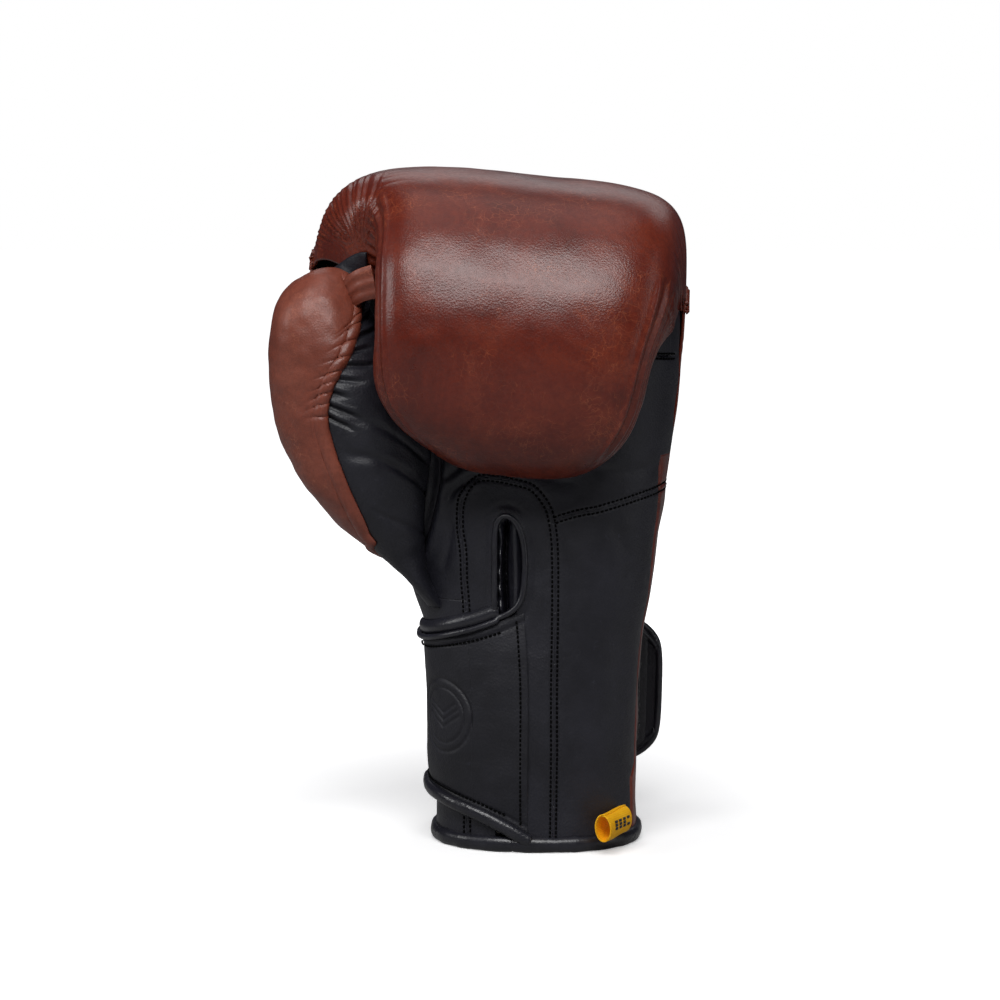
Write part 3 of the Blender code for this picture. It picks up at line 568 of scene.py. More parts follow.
def palm_relief(x, z):
    """How far the palm-side leather stands out at (x, z): seams, folds and the pull of the slit's edge."""
    points = np.stack([x, np.zeros_like(x), z], -1)
    out = 0.22 * ripples(points, 34, 3) + 0.04 * ripples(points, 11, 4)
    for line, double in ((SEAM_LEFT, True), (SEAM_ARCH, True), (SEAM_RIGHT, True), (SEAM_THUMB, False)):
        d, way, side = reach(x, z, line)
        raised = np.where(side < 0 if double else side > 0, 1.0, 0.0)
        out += 0.3 * raised * np.clip(d / 0.6, 0, 1) * bell(d, 4.5)
        dots = 0.5 + 0.5 * np.cos(2 * math.pi * way / STITCH_STEP)
        if double:
            out += 0.12 * bell(d, 0.7) - 0.5 * (0.75 + 0.25 * dots) * bell(d - STITCH_OFF, 0.55)
        else:
            out -= 0.5 * bell(d, 0.5) + 0.28 * (0.55 + 0.45 * dots) * bell(d - 1.6, 0.5)
    for line, width, depth in FOLDS:
        d, way, _ = reach(x, z, line)
        length = np.linalg.norm(np.diff(smooth_line(line, 1.0), axis=0), axis=1).sum()
        ends = ease(way / (0.22 * length)) * ease((length - way) / (0.22 * length)) if depth < 2 else 1.0
        out += ends * depth * (0.5 * bell(d - width * 1.9, width * 1.1) - bell(d, width * 0.75))
    d = reach(x, z, SLIT_EDGE)[0]
    out += 0.9 * bell(d, 3.5) - 0.5 * bell(d - 4.6, 1.3)
    return out


def palm_side(x, z, out=0.0):
    """Points on the palm side at (x, z), out millimetres above the finished leather."""
    x, z = np.asarray(x, float), np.asarray(z, float)
    return body(front_angle(x, z), z, out + palm_relief(x, z))


def tube(name, path, radius, material, flat=1.0, sides=10, up=None, ends=True, wave=0.0):
    """A cord along path, in millimetres; radius may vary along it, and flat stretches it along up."""
    path = np.asarray(path, float)
    radius = np.broadcast_to(np.asarray(radius, float), len(path)).copy()
    along = np.gradient(path, axis=0)
    along /= np.linalg.norm(along, axis=1, keepdims=True)
    if up is None:
        up = np.zeros_like(path)
        up[:, 1] = -1.0
    up = np.broadcast_to(np.asarray(up, float), path.shape)
    across = np.cross(along, up)
    across /= np.linalg.norm(across, axis=1, keepdims=True)
    up = np.cross(across, along)
    if wave:
        radius *= 1 + wave * ripples(path, 5.0, 11)
    if ends:
        cap = np.array([0.05, 0.55, 0.85])
        past_end = np.array([1.0, 0.75, 0.4])
        first = [path[0] - along[0] * radius[0] * r for r in past_end]
        last = [path[-1] + along[-1] * radius[-1] * r for r in past_end[::-1]]
        path = np.concatenate([first, path, last])
        across = np.concatenate([[across[0]] * 3, across, [across[-1]] * 3])
        up = np.concatenate([[up[0]] * 3, up, [up[-1]] * 3])
        radius = np.concatenate([cap * radius[0], radius, cap[::-1] * radius[-1]])
    a = np.linspace(0, 2 * math.pi, sides, endpoint=False)
    ring = np.cos(a)[None, :, None] * across[:, None] + flat * np.sin(a)[None, :, None] * up[:, None]
    points = path[:, None] + ring * radius[:, None, None]
    m = len(points)
    index = np.arange(m * sides).reshape(m, sides)
    index = np.concatenate([index, index[:, :1]], 1)
    quads = np.stack([index[:-1, :-1], index[:-1, 1:], index[1:, 1:], index[1:, :-1]], -1).reshape(-1, 4)
    faces = [list(q) for q in quads] + [list(range(sides))[::-1], list(range((m - 1) * sides, m * sides))]
    return mesh_object(name, to_world(points.reshape(-1, 3)), faces, material)


def outward(obj):
    """Turn a closed mesh's faces outwards."""
    bm = bmesh.new()
    bm.from_mesh(obj.data)
    bmesh.ops.recalc_face_normals(bm, faces=bm.faces)
    bm.to_mesh(obj.data)
    bm.free()
    return obj


STITCH_RINGS = (  # place along the thread and share of its width
    (-1, 0.15), (-0.86, 0.8), (-0.4, 1.0), (0.4, 1.0), (0.86, 0.8), (1, 0.15),
)
STITCH_ARCH = (-0.45, -0.05, 0.12, 0.12, -0.05, -0.45)


def add_stitch(verts, faces, centre, along, up):
    """One thread: six rings of six points, with both ends dipping into the leather."""
    across = np.cross(along, up)
    base = len(verts)
    for (t, r), lift in zip(STITCH_RINGS, STITCH_ARCH):
        ring_centre = centre + along * t * STITCH_LENGTH / 2 + up * lift
        for k in np.linspace(0, 2 * math.pi, 6, endpoint=False):
            verts.append(ring_centre + (across * math.cos(k) + up * math.sin(k)) * r * STITCH_WIDTH)
    for i in range(5):
        for k in range(6):
            j = (k + 1) % 6
            faces.append([base + i * 6 + k, base + i * 6 + j, base + i * 6 + 6 + j, base + i * 6 + 6 + k])
    faces.append([base + k for k in range(6)][::-1])
    faces.append([base + 30 + k for k in range(6)])


def stitches(name, runs):
    """Threads sewn along runs, each a pair of arrays: points and outward normals, both in millimetres."""
    verts, faces = [], []
    for points, normals in runs:
        way = np.concatenate([[0], np.cumsum(np.linalg.norm(np.diff(points, axis=0), axis=1))])

        def at(values, where):
            return np.array([np.interp(where, way, values[:, i]) for i in range(3)])

        for middle in np.arange(STITCH_STEP * 0.6, way[-1], STITCH_STEP):
            along = at(points, middle + 0.5) - at(points, middle - 0.5)
            along /= max(np.linalg.norm(along), 1e-9)
            up = at(normals, middle)
            up -= along * (up @ along)
            up /= np.linalg.norm(up)
            add_stitch(verts, faces, at(points, middle), along, up)
    return mesh_object(name, to_world(np.array(verts)), faces, THREAD)


def offset_line(line, away):
    """A line moved sideways, positive to the left of its direction."""
    points = smooth_line(line, 0.7)
    d = np.gradient(points, axis=0)
    d /= np.linalg.norm(d, axis=1, keepdims=True)
    return points + away * np.stack([-d[:, 1], d[:, 0]], -1)


def palm_run(line, away, lift=0.25):
    """A run of stitches beside a line of the palm side."""
    p = offset_line(line, away)
    here = palm_side(p[:, 0], p[:, 1], lift)
    above = palm_side(p[:, 0], p[:, 1], lift + 1.0)
    return here, above - here


# ---------------------------------------------------------------- fist


GATHERS = 120  # more pleats and ribs than any side needs
FAN_CENTRE, FAN_STEP = (-73, 265), 11.6  # where the left gathers spread from, and the degrees between two


def profile_length(stations):
    y, z = rows(FIST, stations)[:2]
    return np.concatenate([[0], np.cumsum(np.hypot(np.diff(y), np.diff(z)))])


def fan_relief(s, grid, shift, strength):
    """The gathers that spread over the roll's thumb side: how much they count, and their relief."""
    x, y, z = grid[..., 0], grid[..., 1], grid[..., 2]
    turned = np.degrees(np.arctan2(z - FAN_CENTRE[1], FAN_CENTRE[0] - x))
    radius = np.hypot(z - FAN_CENTRE[1], x - FAN_CENTRE[0])
    fan = ease((-62 - x) / 5) * ease((30 - y) / 18) * ease((8.0 - s) / 0.3) * ease((z - 250) / 8)
    spoke = turned / FAN_STEP + 0.3 * np.sin(radius / 15) + 0.08 * np.sin(radius / 6)
    which = np.clip(np.round(spoke).astype(int) + 20, 0, GATHERS - 1)
    g = spoke - np.round(spoke) - 0.6 * shift[which]
    rib = 0.6 * np.cos(2 * math.pi * g) + 0.25 - 2.0 * bell(g, 0.14)
    rib += 0.22 * np.cos(4 * math.pi * g + 1.0 + radius / 9)
    fading = np.clip(radius / 24, 0.25, 1.0) * (1 - 0.55 * ease((radius - 30) / 24))
    return fan, 1.75 * fan * rib * strength[which] * fading


def turned_folds(s, h, run, left):
    """The folds where the roll's side turns in towards the palm."""
    rolled = ease((s - (7.55 if left else 8.6)) / 0.4) * ease((12.6 - s) / 1.2)
    turn = np.abs(h) - 0.585
    folds = bell(turn, 0.016) * 1.1 - 0.9 * bell(turn - 0.045, 0.017) + 0.5 * bell(turn - 0.08, 0.014)
    folds += 0.42 * np.sin(turn * 2 * math.pi / 0.052 + 1.2 * np.sin(run / 23)) * ease((turn - 0.07) / 0.05)
    return rolled * folds


def side_relief(s, h, run, grid, left, shift, strength, soft):
    """Everything sewn into one side of the fist: its pleats, the left side's fan and the folds."""
    gathered = 0.55 if left else 0.76
    deep = ease((np.abs(h) - gathered) / 0.26)
    within = ease((s - 1.6) / 1.4) * ease(((7.9 if left else 9.9) - s) / 0.9)
    uneven = 0.175 * ripples(grid, 60, 30 if left else 32)
    phase = run / (8.6 if left else 9.4) + uneven + (0 if left else 0.5)
    number = np.clip(np.round(phase).astype(int), 0, GATHERS - 1)
    f = phase - np.round(phase) - shift[number] * (0.4 + 0.6 * (1 - deep))
    pleat = 0.75 * np.cos(2 * math.pi * f) + 0.35 - 2.1 * bell(f, 0.13 + 0.05 * (1 - deep))
    out = 0
    if left:
        fan, spread = fan_relief(s, grid, shift, strength)
        out = spread * soft
        within = within * (1 - fan)
    out = out + (1.15 if left else 0.8) * within * deep * strength[number] * pleat * soft
    faint = ease((np.abs(h) - gathered + 0.17) / 0.2) * (1 - deep) * within
    out = out - 0.5 * faint * bell(f, 0.17) * strength[number]
    return out + turned_folds(s, h, run, left)


def fist_relief(stations, shares, grid):
    """Gathers down both sides, the fold where the roll's side turns in, and the leather's own waves."""
    s, h = np.meshgrid(stations, shares, indexing="ij")
    run = profile_length(stations)[:, None] + 0 * h
    out = 0.32 * ripples(grid, 46, 21) + 0.08 * ripples(grid, 17, 22)
    outline = ease(np.abs(grid_normals(grid)[..., 1]) / 0.42)
    soft = (0.05 + 0.95 * outline) * (1 - 0.92 * ease((np.abs(h) - 0.86) / 0.12))
    pick = np.random.default_rng(5)
    strength = pick.uniform(0.55, 1.25, GATHERS)
    shift = pick.uniform(-0.22, 0.22, GATHERS)
    for left in (True, False):
        mine = np.sign(h) == (-1 if left else 1)
        out += np.where(mine, side_relief(s, h, run, grid, left, shift, strength, soft), 0)
    return out - 0.5 * bell(s - 3.2, 0.35) * ease((0.55 - np.abs(h)) / 0.2)


def make_fist():
    """The fist's leather as one skin. Returns its outside, which the black sheet of painted shade above the
    thumb lies on.
    """
    stations = np.linspace(0, 15, 560)
    shares = np.linspace(-1, 1, 281)
    fist = fist_grid(stations, shares)
    normal = grid_normals(fist)
    knuckle = (300, 140)
    if (fist[knuckle] - np.array([0, 0, 240])) @ normal[knuckle] < 0:
        normal = -normal
    fist = fist + normal * fist_relief(stations, shares, fist)[..., None]
    obj = grid_object("fist_leather", fist, BROWN)
    turn_along(obj, normal[knuckle])
    thicken(obj, 1.4)
    finish_piece(obj, "glove", "brown_leather", "knuckle_shell", "thumb_side_gusset", "little_finger_gusset")
    return fist


# ---------------------------------------------------------------- hand and cuff

HAND_COLUMNS = 620
TUBE_TOP, CLOSING = 262.0, 10.5  # where the hand's tube starts to close inside the fist, and over what height
CUFF_TOP, BROWN_TOP = 113.0, 176.0  # top of the cuff, and of the brown edge on the little finger's side
BROWN_FROM = ((0, 30, 36, 112, 114, 140, 176), (341, 341, 351, 352, 349, 345, 338))  # heights and angles
UNDER_FIST = 3.4  # how far the hand's back lies under the fist's leather


def line_x(line, z):
    p = smooth_line(line, 1.0)
    order = np.argsort(p[:, 1])
    return np.interp(z, p[order, 1], p[order, 0])


def line_z(line, x):
    p = smooth_line(line, 1.0)
    order = np.argsort(p[:, 0])
    return np.interp(x, p[order, 0], p[order, 1])


def hand_surface(angles, heights, brown_from):
    """The outside of hand and cuff, as a tube of points that closes inside the fist."""
    grid = body(angles[None, :], np.minimum(heights, TUBE_TOP)[:, None])
    closing = 0.93 * np.clip((heights - TUBE_TOP) / CLOSING, 0, 1)[:, None, None] ** 2
    grid[..., 2] = heights[:, None]
    grid[..., :2] = grid[..., :2] * (1 - closing) + np.array([-5, 10]) * closing
    x, z = grid[..., 0], grid[..., 2]
    on_palm = np.broadcast_to((angles > 182) & (angles < 358), x.shape)
    relief = np.where(on_palm, palm_relief(x, z), 0.3 * ripples(grid, 26, 3))
    fade = ease((angles - 180) / 12) * ease((360 - angles) / 12)
    relief = relief * fade + 0.3 * ripples(grid, 26, 8) * (1 - fade)
    relief -= np.where(on_palm, 0.9 * bell(reach(x, z, SEAM_SIDE)[0], 0.9), 0)
    near_edge = np.abs(((angles[None, :] - brown_from[:, None] + 180) % 360) - 180)
    relief = relief - 0.9 * bell(near_edge / 1.6, 1.0) * ease((BROWN_TOP - z) / 6)
    normal = np.cross(np.roll(grid, -1, 1) - np.roll(grid, 1, 1), np.gradient(grid, axis=0))
    normal /= np.maximum(np.linalg.norm(normal, axis=2, keepdims=True), 1e-9)
    normal[..., 2] *= 0.2
    sunk = ease((np.sin(np.radians(angles)) - 0.02) / 0.15)[None, :] * ease((heights - 115) / 8)[:, None]
    relief = relief * ease((TUBE_TOP - heights) / 8)[:, None] - UNDER_FIST * sunk
    return grid + normal * relief[..., None]


def make_hand():
    """The leathers of the hand and cuff: one surface parted along the seams."""
    angles = np.linspace(0, 360, HAND_COLUMNS + 1)[:-1]
    heights = np.concatenate([np.linspace(1.5, TUBE_TOP, 400), TUBE_TOP + np.array([2, 4, 6, 8, 9.5, 10.5])])
    brown_from = np.interp(heights, *BROWN_FROM)
    surface = hand_surface(angles, heights, brown_from)
    ahead = np.roll(surface, -1, 1)
    centre = 0.25 * (surface[:-1] + surface[1:] + ahead[:-1] + ahead[1:])
    x, z = centre[..., 0], centre[..., 2]
    angle = np.broadcast_to(angles + 180 / HAND_COLUMNS, x.shape)
    brown_from = (0.5 * (brown_from[:-1] + brown_from[1:]))[:, None]
    front = (angle > 180) & (angle < brown_from)
    in_slit = front & (z > 3) & (z < 151) & (x > -13.5) & (x < line_x(SLIT_EDGE[4:], z))
    in_slit &= ~((z > 142) & (np.hypot((x + 7.6) / 5.9, (z - 141) / 9.6) > 1))
    in_slit &= ~((z < 109) & (x > -3.2))
    facing = front & (x > line_x(SEAM_LEFT, z)) & (x < line_x(SEAM_ARCH[4:], z))
    facing &= z < line_z(SEAM_ARCH[:8], x)
    right_low = front & ~facing & (x > 5) & (z < np.where(x < 66, line_z(SEAM_RIGHT, x), 163))
    beside_thumb = x < line_x(SEAM_THUMB, z) - np.where(z > 182, (z - 182) * 0.2, 0)
    thumb_base = front & ~facing & (z > 112.5) & beside_thumb
    cuff_left = front & ~facing & ~right_low & (z < 112.5) & (x < 0)
    side_upper = front & ~facing & ~right_low & ~thumb_base & (z > line_z(SEAM_SIDE, x)) & (x > 0)
    cuff_back = ((angle >= brown_from) | (angle <= 176)) & (z < CUFF_TOP)
    edge_brown = ((angle >= brown_from) | (angle <= 20)) & (z >= CUFF_TOP) & (z < BROWN_TOP)
    edge_brown |= (angle <= 178) & (z >= CUFF_TOP) & (z < 130)
    taken = facing | right_low | thumb_base | cuff_left | side_upper | cuff_back | edge_brown
    cuff_side = (angle > 170) & (z < 112.5)
    thumb_side = cuff_left | (~taken & cuff_side)
    for name, keep, mat, slot, nodes in (
        ("cuff_slit_facing", facing & ~in_slit, BLACK, "black_leather", ("slit_facing",)),
        ("palm_lower_leather", right_low, BLACK, "black_leather", ("cuff_palm_panel", "side_panel_lower")),
        ("thumb_base_leather", thumb_base, BLACK, "black_leather", ("thumb_base_panel",)),
        ("cuff_thumb_side_leather", thumb_side, BLACK, "black_leather", ("cuff_thumb_panel",)),
        ("side_upper_leather", side_upper, BLACK, "black_leather", ("side_panel_upper",)),
        ("cuff_back_leather", cuff_back, BROWN, "brown_leather", ("cuff_back_panel",)),
        ("little_finger_edge_leather", edge_brown, BROWN, "brown_leather", ()),
        ("palm_leather", ~taken & ~cuff_side, BLACK, "black_leather", ("palm_panel",)),
    ):
        obj = grid_object(name, surface, mat, keep=keep, wrap=True, flip=True)
        thicken(obj, 1.3)
        finish_piece(obj, "glove", slot, *nodes)


def make_slit():
    """The slit's folded lining, wrinkled on its left, and the cord round its edge."""
    across, up = np.meshgrid(np.linspace(-16.5, 1.5, 90), np.linspace(92, 152, 160))
    sink = 2.6 + 8.5 * bell(across + 8.9 + 0.5 * np.sin(up / 9), 0.9) * ease((150 - up) / 6)
    left_fold = 1.7 * bell(across + 11.4 - 0.3 * np.sin(up / 4.1), 1.5)
    sink -= left_fold + 2.6 * bell(across + 4.6 + 0.3 * np.sin(up / 7), 2.4)
    wrinkles = np.sin(up / 1.35 + 0.55 * across + 1.2 * np.sin(up / 6.3)) * bell(across + 11.3, 2.4)
    sink += 0.75 * np.where(across < -8.6, wrinkles, 0)
    sink += 0.12 * ripples(np.stack([across, 0 * across, up], -1), 7, 41)
    fold = body(front_angle(across, up), up)
    fold[..., 1] += sink
    obj = grid_object("slit_lining_folds", fold, GLOSS)
    turn_along(obj, (0, -1, 0))
    thicken(obj, 0.8)
    finish_piece(obj, "glove", "black_binding")
    path = smooth_line(SLIT_EDGE[:-3], 0.8)
    edge = palm_side(path[:, 0], path[:, 1], 0.3)
    obj = tube("slit_edge_piping", edge, 1.35, GLOSS, wave=0.05)
    finish_piece(outward(obj), "glove", "black_binding", "slit_binding")


def make_rim():
    """The thick binding round the mouth, which the glove stands on."""
    angles = np.linspace(262.6, 262.6 + 358.6, 260)
    rim = body(angles, np.full(260, 3.5), 0.2)
    swell = 2.5 + 0.08 * np.sin(np.radians(angles) * 19)
    obj = tube("cuff_rim_piping", rim, swell, GLOSS, flat=1.38, sides=16, up=(0, 0, 1), wave=0.02)
    finish_piece(outward(obj), "glove", "black_binding", "cuff_rim_binding")


# ---------------------------------------------------------------- thumb

THUMB_BACK = 62.0  # the angle of the seam on the thumb's back, next to the hand
THUMB_FOOT, THUMB_TIP = 108.0, 258.95
THUMB_COLUMNS = 190


def thumb_seam_angle(z):
    """The angle of the seam between the thumb's brown and black leather."""
    at = np.array(THUMB_SEAM, float)
    x = np.interp(z, at[:, 0], at[:, 1])
    outer = front_angle(x, z, THUMB, THUMB_POWER)
    left, right, _, _ = rows(THUMB, z)
    share = (x - (left + right) / 2) / ((right - left) / 2)
    flat = np.sign(share) * np.abs(share) ** (THUMB_INNER_POWER / 2)
    return np.where(share > 0, 360 - np.degrees(np.arccos(np.clip(flat, -1, 1))), outer)


def thumb_rows():
    """The heights of the thumb's rows, closer together near its tip, and the seam's angle at each."""
    heights = THUMB_FOOT + (THUMB_TIP - THUMB_FOOT) * (1 - (1 - np.linspace(0, 1, 260)) ** 1.6)
    lowest = thumb_seam_angle(np.array([139.0]))[0]
    seam = np.where(heights < 139, 180 + (lowest - 180) * (heights - 133) / 6, thumb_seam_angle(heights))
    seam = np.where(heights < 133, THUMB_BACK + 118 * ease((heights - 125) / 8), seam)
    return heights, seam


def brown_puckers(out, z, near_seam, from_back, pucker_at):
    """The brown side's soft rim along the seam, with short puckers running into it."""
    out += 0.75 * bell(near_seam - 2.6, 2.0) - 0.35 * bell(near_seam - 5.2, 0.8)
    for k, at in enumerate(pucker_at):
        line = at - near_seam * (0.25 + 0.07 * k) + 1.2 * np.sin(near_seam / 5 + k)
        out -= 0.7 * bell(z - line, 0.95) * ease((13 - near_seam) / 11)
    return out - 0.6 * bell(from_back, 0.9)


def black_puckers(out, z, near_seam, pucker_at):
    """The black side's longer puckers and the three creases where the thumb bends."""
    out -= 0.3 * ease((6 - near_seam) / 6)
    for k, at in enumerate(pucker_at):
        line = at + near_seam * 0.12 * (k - 4)
        length = 15 + 4 * math.sin(k * 2.1)
        out -= 1.5 * bell(z - line, 1.05) * ease((length - near_seam) / 9) * ease(near_seam / 1.2)
        out += 0.7 * bell(z - line - 2.3, 1.2) * ease((length - near_seam) / 9) * ease(near_seam / 1.2)
    crease = 178 + 8 * np.sin(near_seam / 13)
    out -= 1.3 * bell(z - crease + near_seam * 0.5, 2.4) * ease((near_seam - 2) / 10)
    out -= 0.9 * bell(z - crease - 15 + near_seam * 0.42, 2.0) * ease((near_seam - 6) / 10)
    return out - 0.8 * bell(z - 158 + near_seam * 0.6, 1.8) * ease((near_seam - 3) / 8)


def thumb_grid(heights, first, last, brown):
    """One side of the thumb between two angles at each height, and its normals."""
    degrees = first[:, None] + (last - first)[:, None] * np.linspace(0, 1, THUMB_COLUMNS)[None, :]
    points = thumb(degrees, heights[:, None])
    across = np.roll(points, -1, 1) - np.roll(points, 1, 1)
    across[:, 0], across[:, -1] = points[:, 1] - points[:, 0], points[:, -1] - points[:, -2]
    normal = np.cross(across, np.gradient(points, axis=0))
    normal /= np.maximum(np.linalg.norm(normal, axis=2, keepdims=True), 1e-9)
    from_first = np.linalg.norm(points - points[:, :1], axis=2)
    from_last = np.linalg.norm(points - points[:, -1:], axis=2)
    near_seam = from_last if brown else from_first
    pucker_at = 190 + np.cumsum(np.random.default_rng(9).uniform(4.2, 6.4, 9))
    z = heights[:, None]
    out = 0.5 * ripples(points, 30, 51) + 0.18 * ripples(points, 10, 52) - 1.1 * bell(near_seam, 0.7)
    if brown:
        out = brown_puckers(out, z, near_seam, from_first, pucker_at)
    else:
        out = black_puckers(out, z, near_seam, pucker_at)
    return points + normal * (out * ease((259 - z) / 5))[..., None], normal


def make_thumb():
    """The thumb's two leathers and the stitches beside their seam."""
    heights, seam = thumb_rows()
    brown, brown_normals = thumb_grid(heights, np.full(len(heights), THUMB_BACK), seam, True)
    black, _ = thumb_grid(heights, seam, np.full(len(heights), THUMB_BACK + 360), False)
    for name, points, mat, slot, node, above in (
        ("thumb_leather_outer", brown, THUMB_BROWN, "thumb_leather", "thumb_outer_shell", 124.5),
        ("thumb_leather_inner", black, BLACK, "black_leather", "thumb_inner_panel", 0),
    ):
        points = points[heights > above]
        obj = grid_object(name, points, mat, flip=True)
        middle = points[len(points) // 2]
        turn_along(obj, middle[THUMB_COLUMNS // 2] - middle.mean(0))
        thicken(obj, 1.3)
        finish_piece(obj, "thumb", slot, node)
    sewn = (heights > 142) & (heights < 257)
    edge, beside, up = brown[sewn][:, -1], brown[sewn][:, -8], brown_normals[sewn][:, -4]
    inwards = beside - edge
    inwards /= np.maximum(np.linalg.norm(inwards, axis=1, keepdims=True), 1e-9)
    obj = stitches("thumb_stitching", [(edge + inwards * 1.9 + up * 0.45, up)])
    finish_piece(obj, "thumb", "thumb_leather")


# ---------------------------------------------------------------- strap

HINGES = {  # the angle round the cuff of each hinge, between two bodies
    ("glove", "strap_front"): 262.0,
    ("strap_front", "strap_side"): 216.0,
    ("strap_side", "strap_tail"): 138.0,
}
ROOT_BODIES, SIDE_BODIES, TAIL_BODIES = HINGES
LENGTHS = (  # key, first and last angle, and the two bodies that each length of the strap joins
    ("a", STRAP_START, STRAP_SPLITS[0], ROOT_BODIES), ("b", STRAP_SPLITS[0], STRAP_SPLITS[1], SIDE_BODIES),
    ("c", STRAP_SPLITS[1], STRAP_STOP, TAIL_BODIES),
)
CUFF_AXIS = (3, 0, 60)


def rounding(degrees):
    """How much of the strap's half height is left at each angle, which rounds its free end."""
    narrow = np.clip((STRAP_ROUND - degrees) / (STRAP_ROUND - STRAP_STOP), 0, 1)
    return np.sqrt(1 - 0.6 * narrow**2.2)


def strap_grid(degrees, shares, out=0.0, inset=0.0, crown=1.6):
    """The strap's outside between its edges: shares from 0 (lower edge) to 1 (upper edge)."""
    low, high, stand = rows(STRAP, degrees)
    middle, half = (low + high) / 2, ((high - low) / 2 - inset) * rounding(degrees)
    z = middle[:, None] + half[:, None] * (2 * shares[None, :] - 1)
    bulge = crown * (1 - (2 * shares - 1) ** 4)[None, :] - crown
    return body(degrees[:, None], z, (stand[:, None] + out) + bulge)


def strap_relief(points, degrees):
    """The strap's waves and the ring and chevrons pressed into it."""
    whole = np.linspace(270, 40, 600)
    half_round = body(whole, np.full(600, EMBLEM_HEIGHT), 3.0)
    length = np.concatenate([[0], np.cumsum(np.linalg.norm(np.diff(half_round, axis=0), axis=1))])
    run = np.interp(-degrees, -whole, length)
    dx = run[:, None] - np.interp(-EMBLEM_AT, -whole, length)
    dz = points[..., 2] - EMBLEM_HEIGHT
    r = np.hypot(dx, dz)
    out = 0.28 * ripples(points, 30, 61) + 0.1 * ripples(points, 10, 62)
    out -= 0.75 * bell(r - EMBLEM_RADIUS, 0.75) + 0.6 * bell(r - EMBLEM_RADIUS * 0.76, 0.55)
    inner = (r < EMBLEM_RADIUS * 0.62).astype(float)
    for shift in (-3.2, 0.0, 3.2):
        out -= 0.6 * bell(np.abs((dz - shift) - 0.6 * np.abs(dx) + 2.2), 0.6) * inner
    return out


def settle(obj, bodies, slot, *nodes):
    """Apply the modifiers and transform of a strap piece that spans the hinge between two bodies, or fix a
    piece to its one body; then hide the CAD nodes it replaces.
    """
    if len(bodies) == 2:
        at = HINGES[tuple(bodies)]
        spread = 3.5 if at > 250 else 9.0
        if obj.modifiers:
            bpy.context.view_layer.update()
            bake(obj)
        ends = [tuple(to_world(body(at + turn, 65.0, 3.0))) for turn in (spread, -spread)]
        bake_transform(obj)
    else:
        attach(obj, bodies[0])
    if nodes:
        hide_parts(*nodes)


def turn_outwards(obj):
    """Turn a sheet's faces away from the cuff's axis."""
    middle = obj.data.polygons[len(obj.data.polygons) // 2]
    away = middle.center - Vector(to_world(CUFF_AXIS))
    away.z = 0
    turn_along(obj, away)


def make_strap():
    """The strap's leather in three lengths."""
    names = ("strap_front_leather_visible", "strap_side_leather_visible", "strap_tail_leather_visible")
    nodes = (("strap_root",), ("strap_front_leather", "strap_side_leather"), ("strap_tail_leather",))
    for name, (_, start, stop, bodies), replaced in zip(names, LENGTHS, nodes):
        degrees = np.linspace(start, stop, max(40, int(abs(start - stop) * 2.2)))
        shares = np.linspace(0, 1, 120)
        points = strap_grid(degrees, shares)
        edge = np.minimum(shares, 1 - shares)[None, :] * 80
        waves = strap_relief(points, degrees) - 0.5 * bell(edge - 4.2, 0.7) + 0.35 * bell(edge - 2.4, 1.6)
        normal = np.cross(np.gradient(points, axis=1), np.gradient(points, axis=0))
        normal /= np.maximum(np.linalg.norm(normal, axis=2, keepdims=True), 1e-9)
        if normal[0, 60] @ (points[0, 60] - np.array([3, 0, points[0, 60][2]])) < 0:
            normal = -normal
        obj = grid_object(name, points + normal * waves[..., None], STRAP_BLACK)
        turn_outwards(obj)
        thicken(obj, 2.0)
        settle(obj, bodies, "black_leather", *replaced)


def edge_path(degrees, upper, out, away):
    """A line along one edge of the strap, standing out and away from it."""
    low, high, stand = rows(STRAP, degrees)
    middle, half = (low + high) / 2, (high - low) / 2 * rounding(degrees) + away
    return body(degrees, middle + (half if upper else -half), stand + out)


def smoothed(path, times):
    """A path with its inner points evened out."""
    for _ in range(times):
        path[1:-1] = 0.25 * path[:-2] + 0.5 * path[1:-1] + 0.25 * path[2:]
    return path


def upper_piping(degrees, starts):
    """The cord on the strap's upper edge; the first length starts at the slit's right edge."""
    top = edge_path(degrees, True, -0.4, 0.4)
    if not starts:
        return top
    lead = smooth_line(SLIT_TO_STRAP, 0.8)
    lead = palm_side(lead[:, 0], lead[:, 1], np.linspace(0.3, 1.3, len(lead)))
    top = top[np.argmax(top[:, 0] < lead[-1, 0]):]
    part = np.linspace(0, 1, 12)[:, None]
    bridge = lead[-1] * (1 - part) + top[4] * part
    return smoothed(np.concatenate([lead[:-1], bridge, top[5:]]), 6)


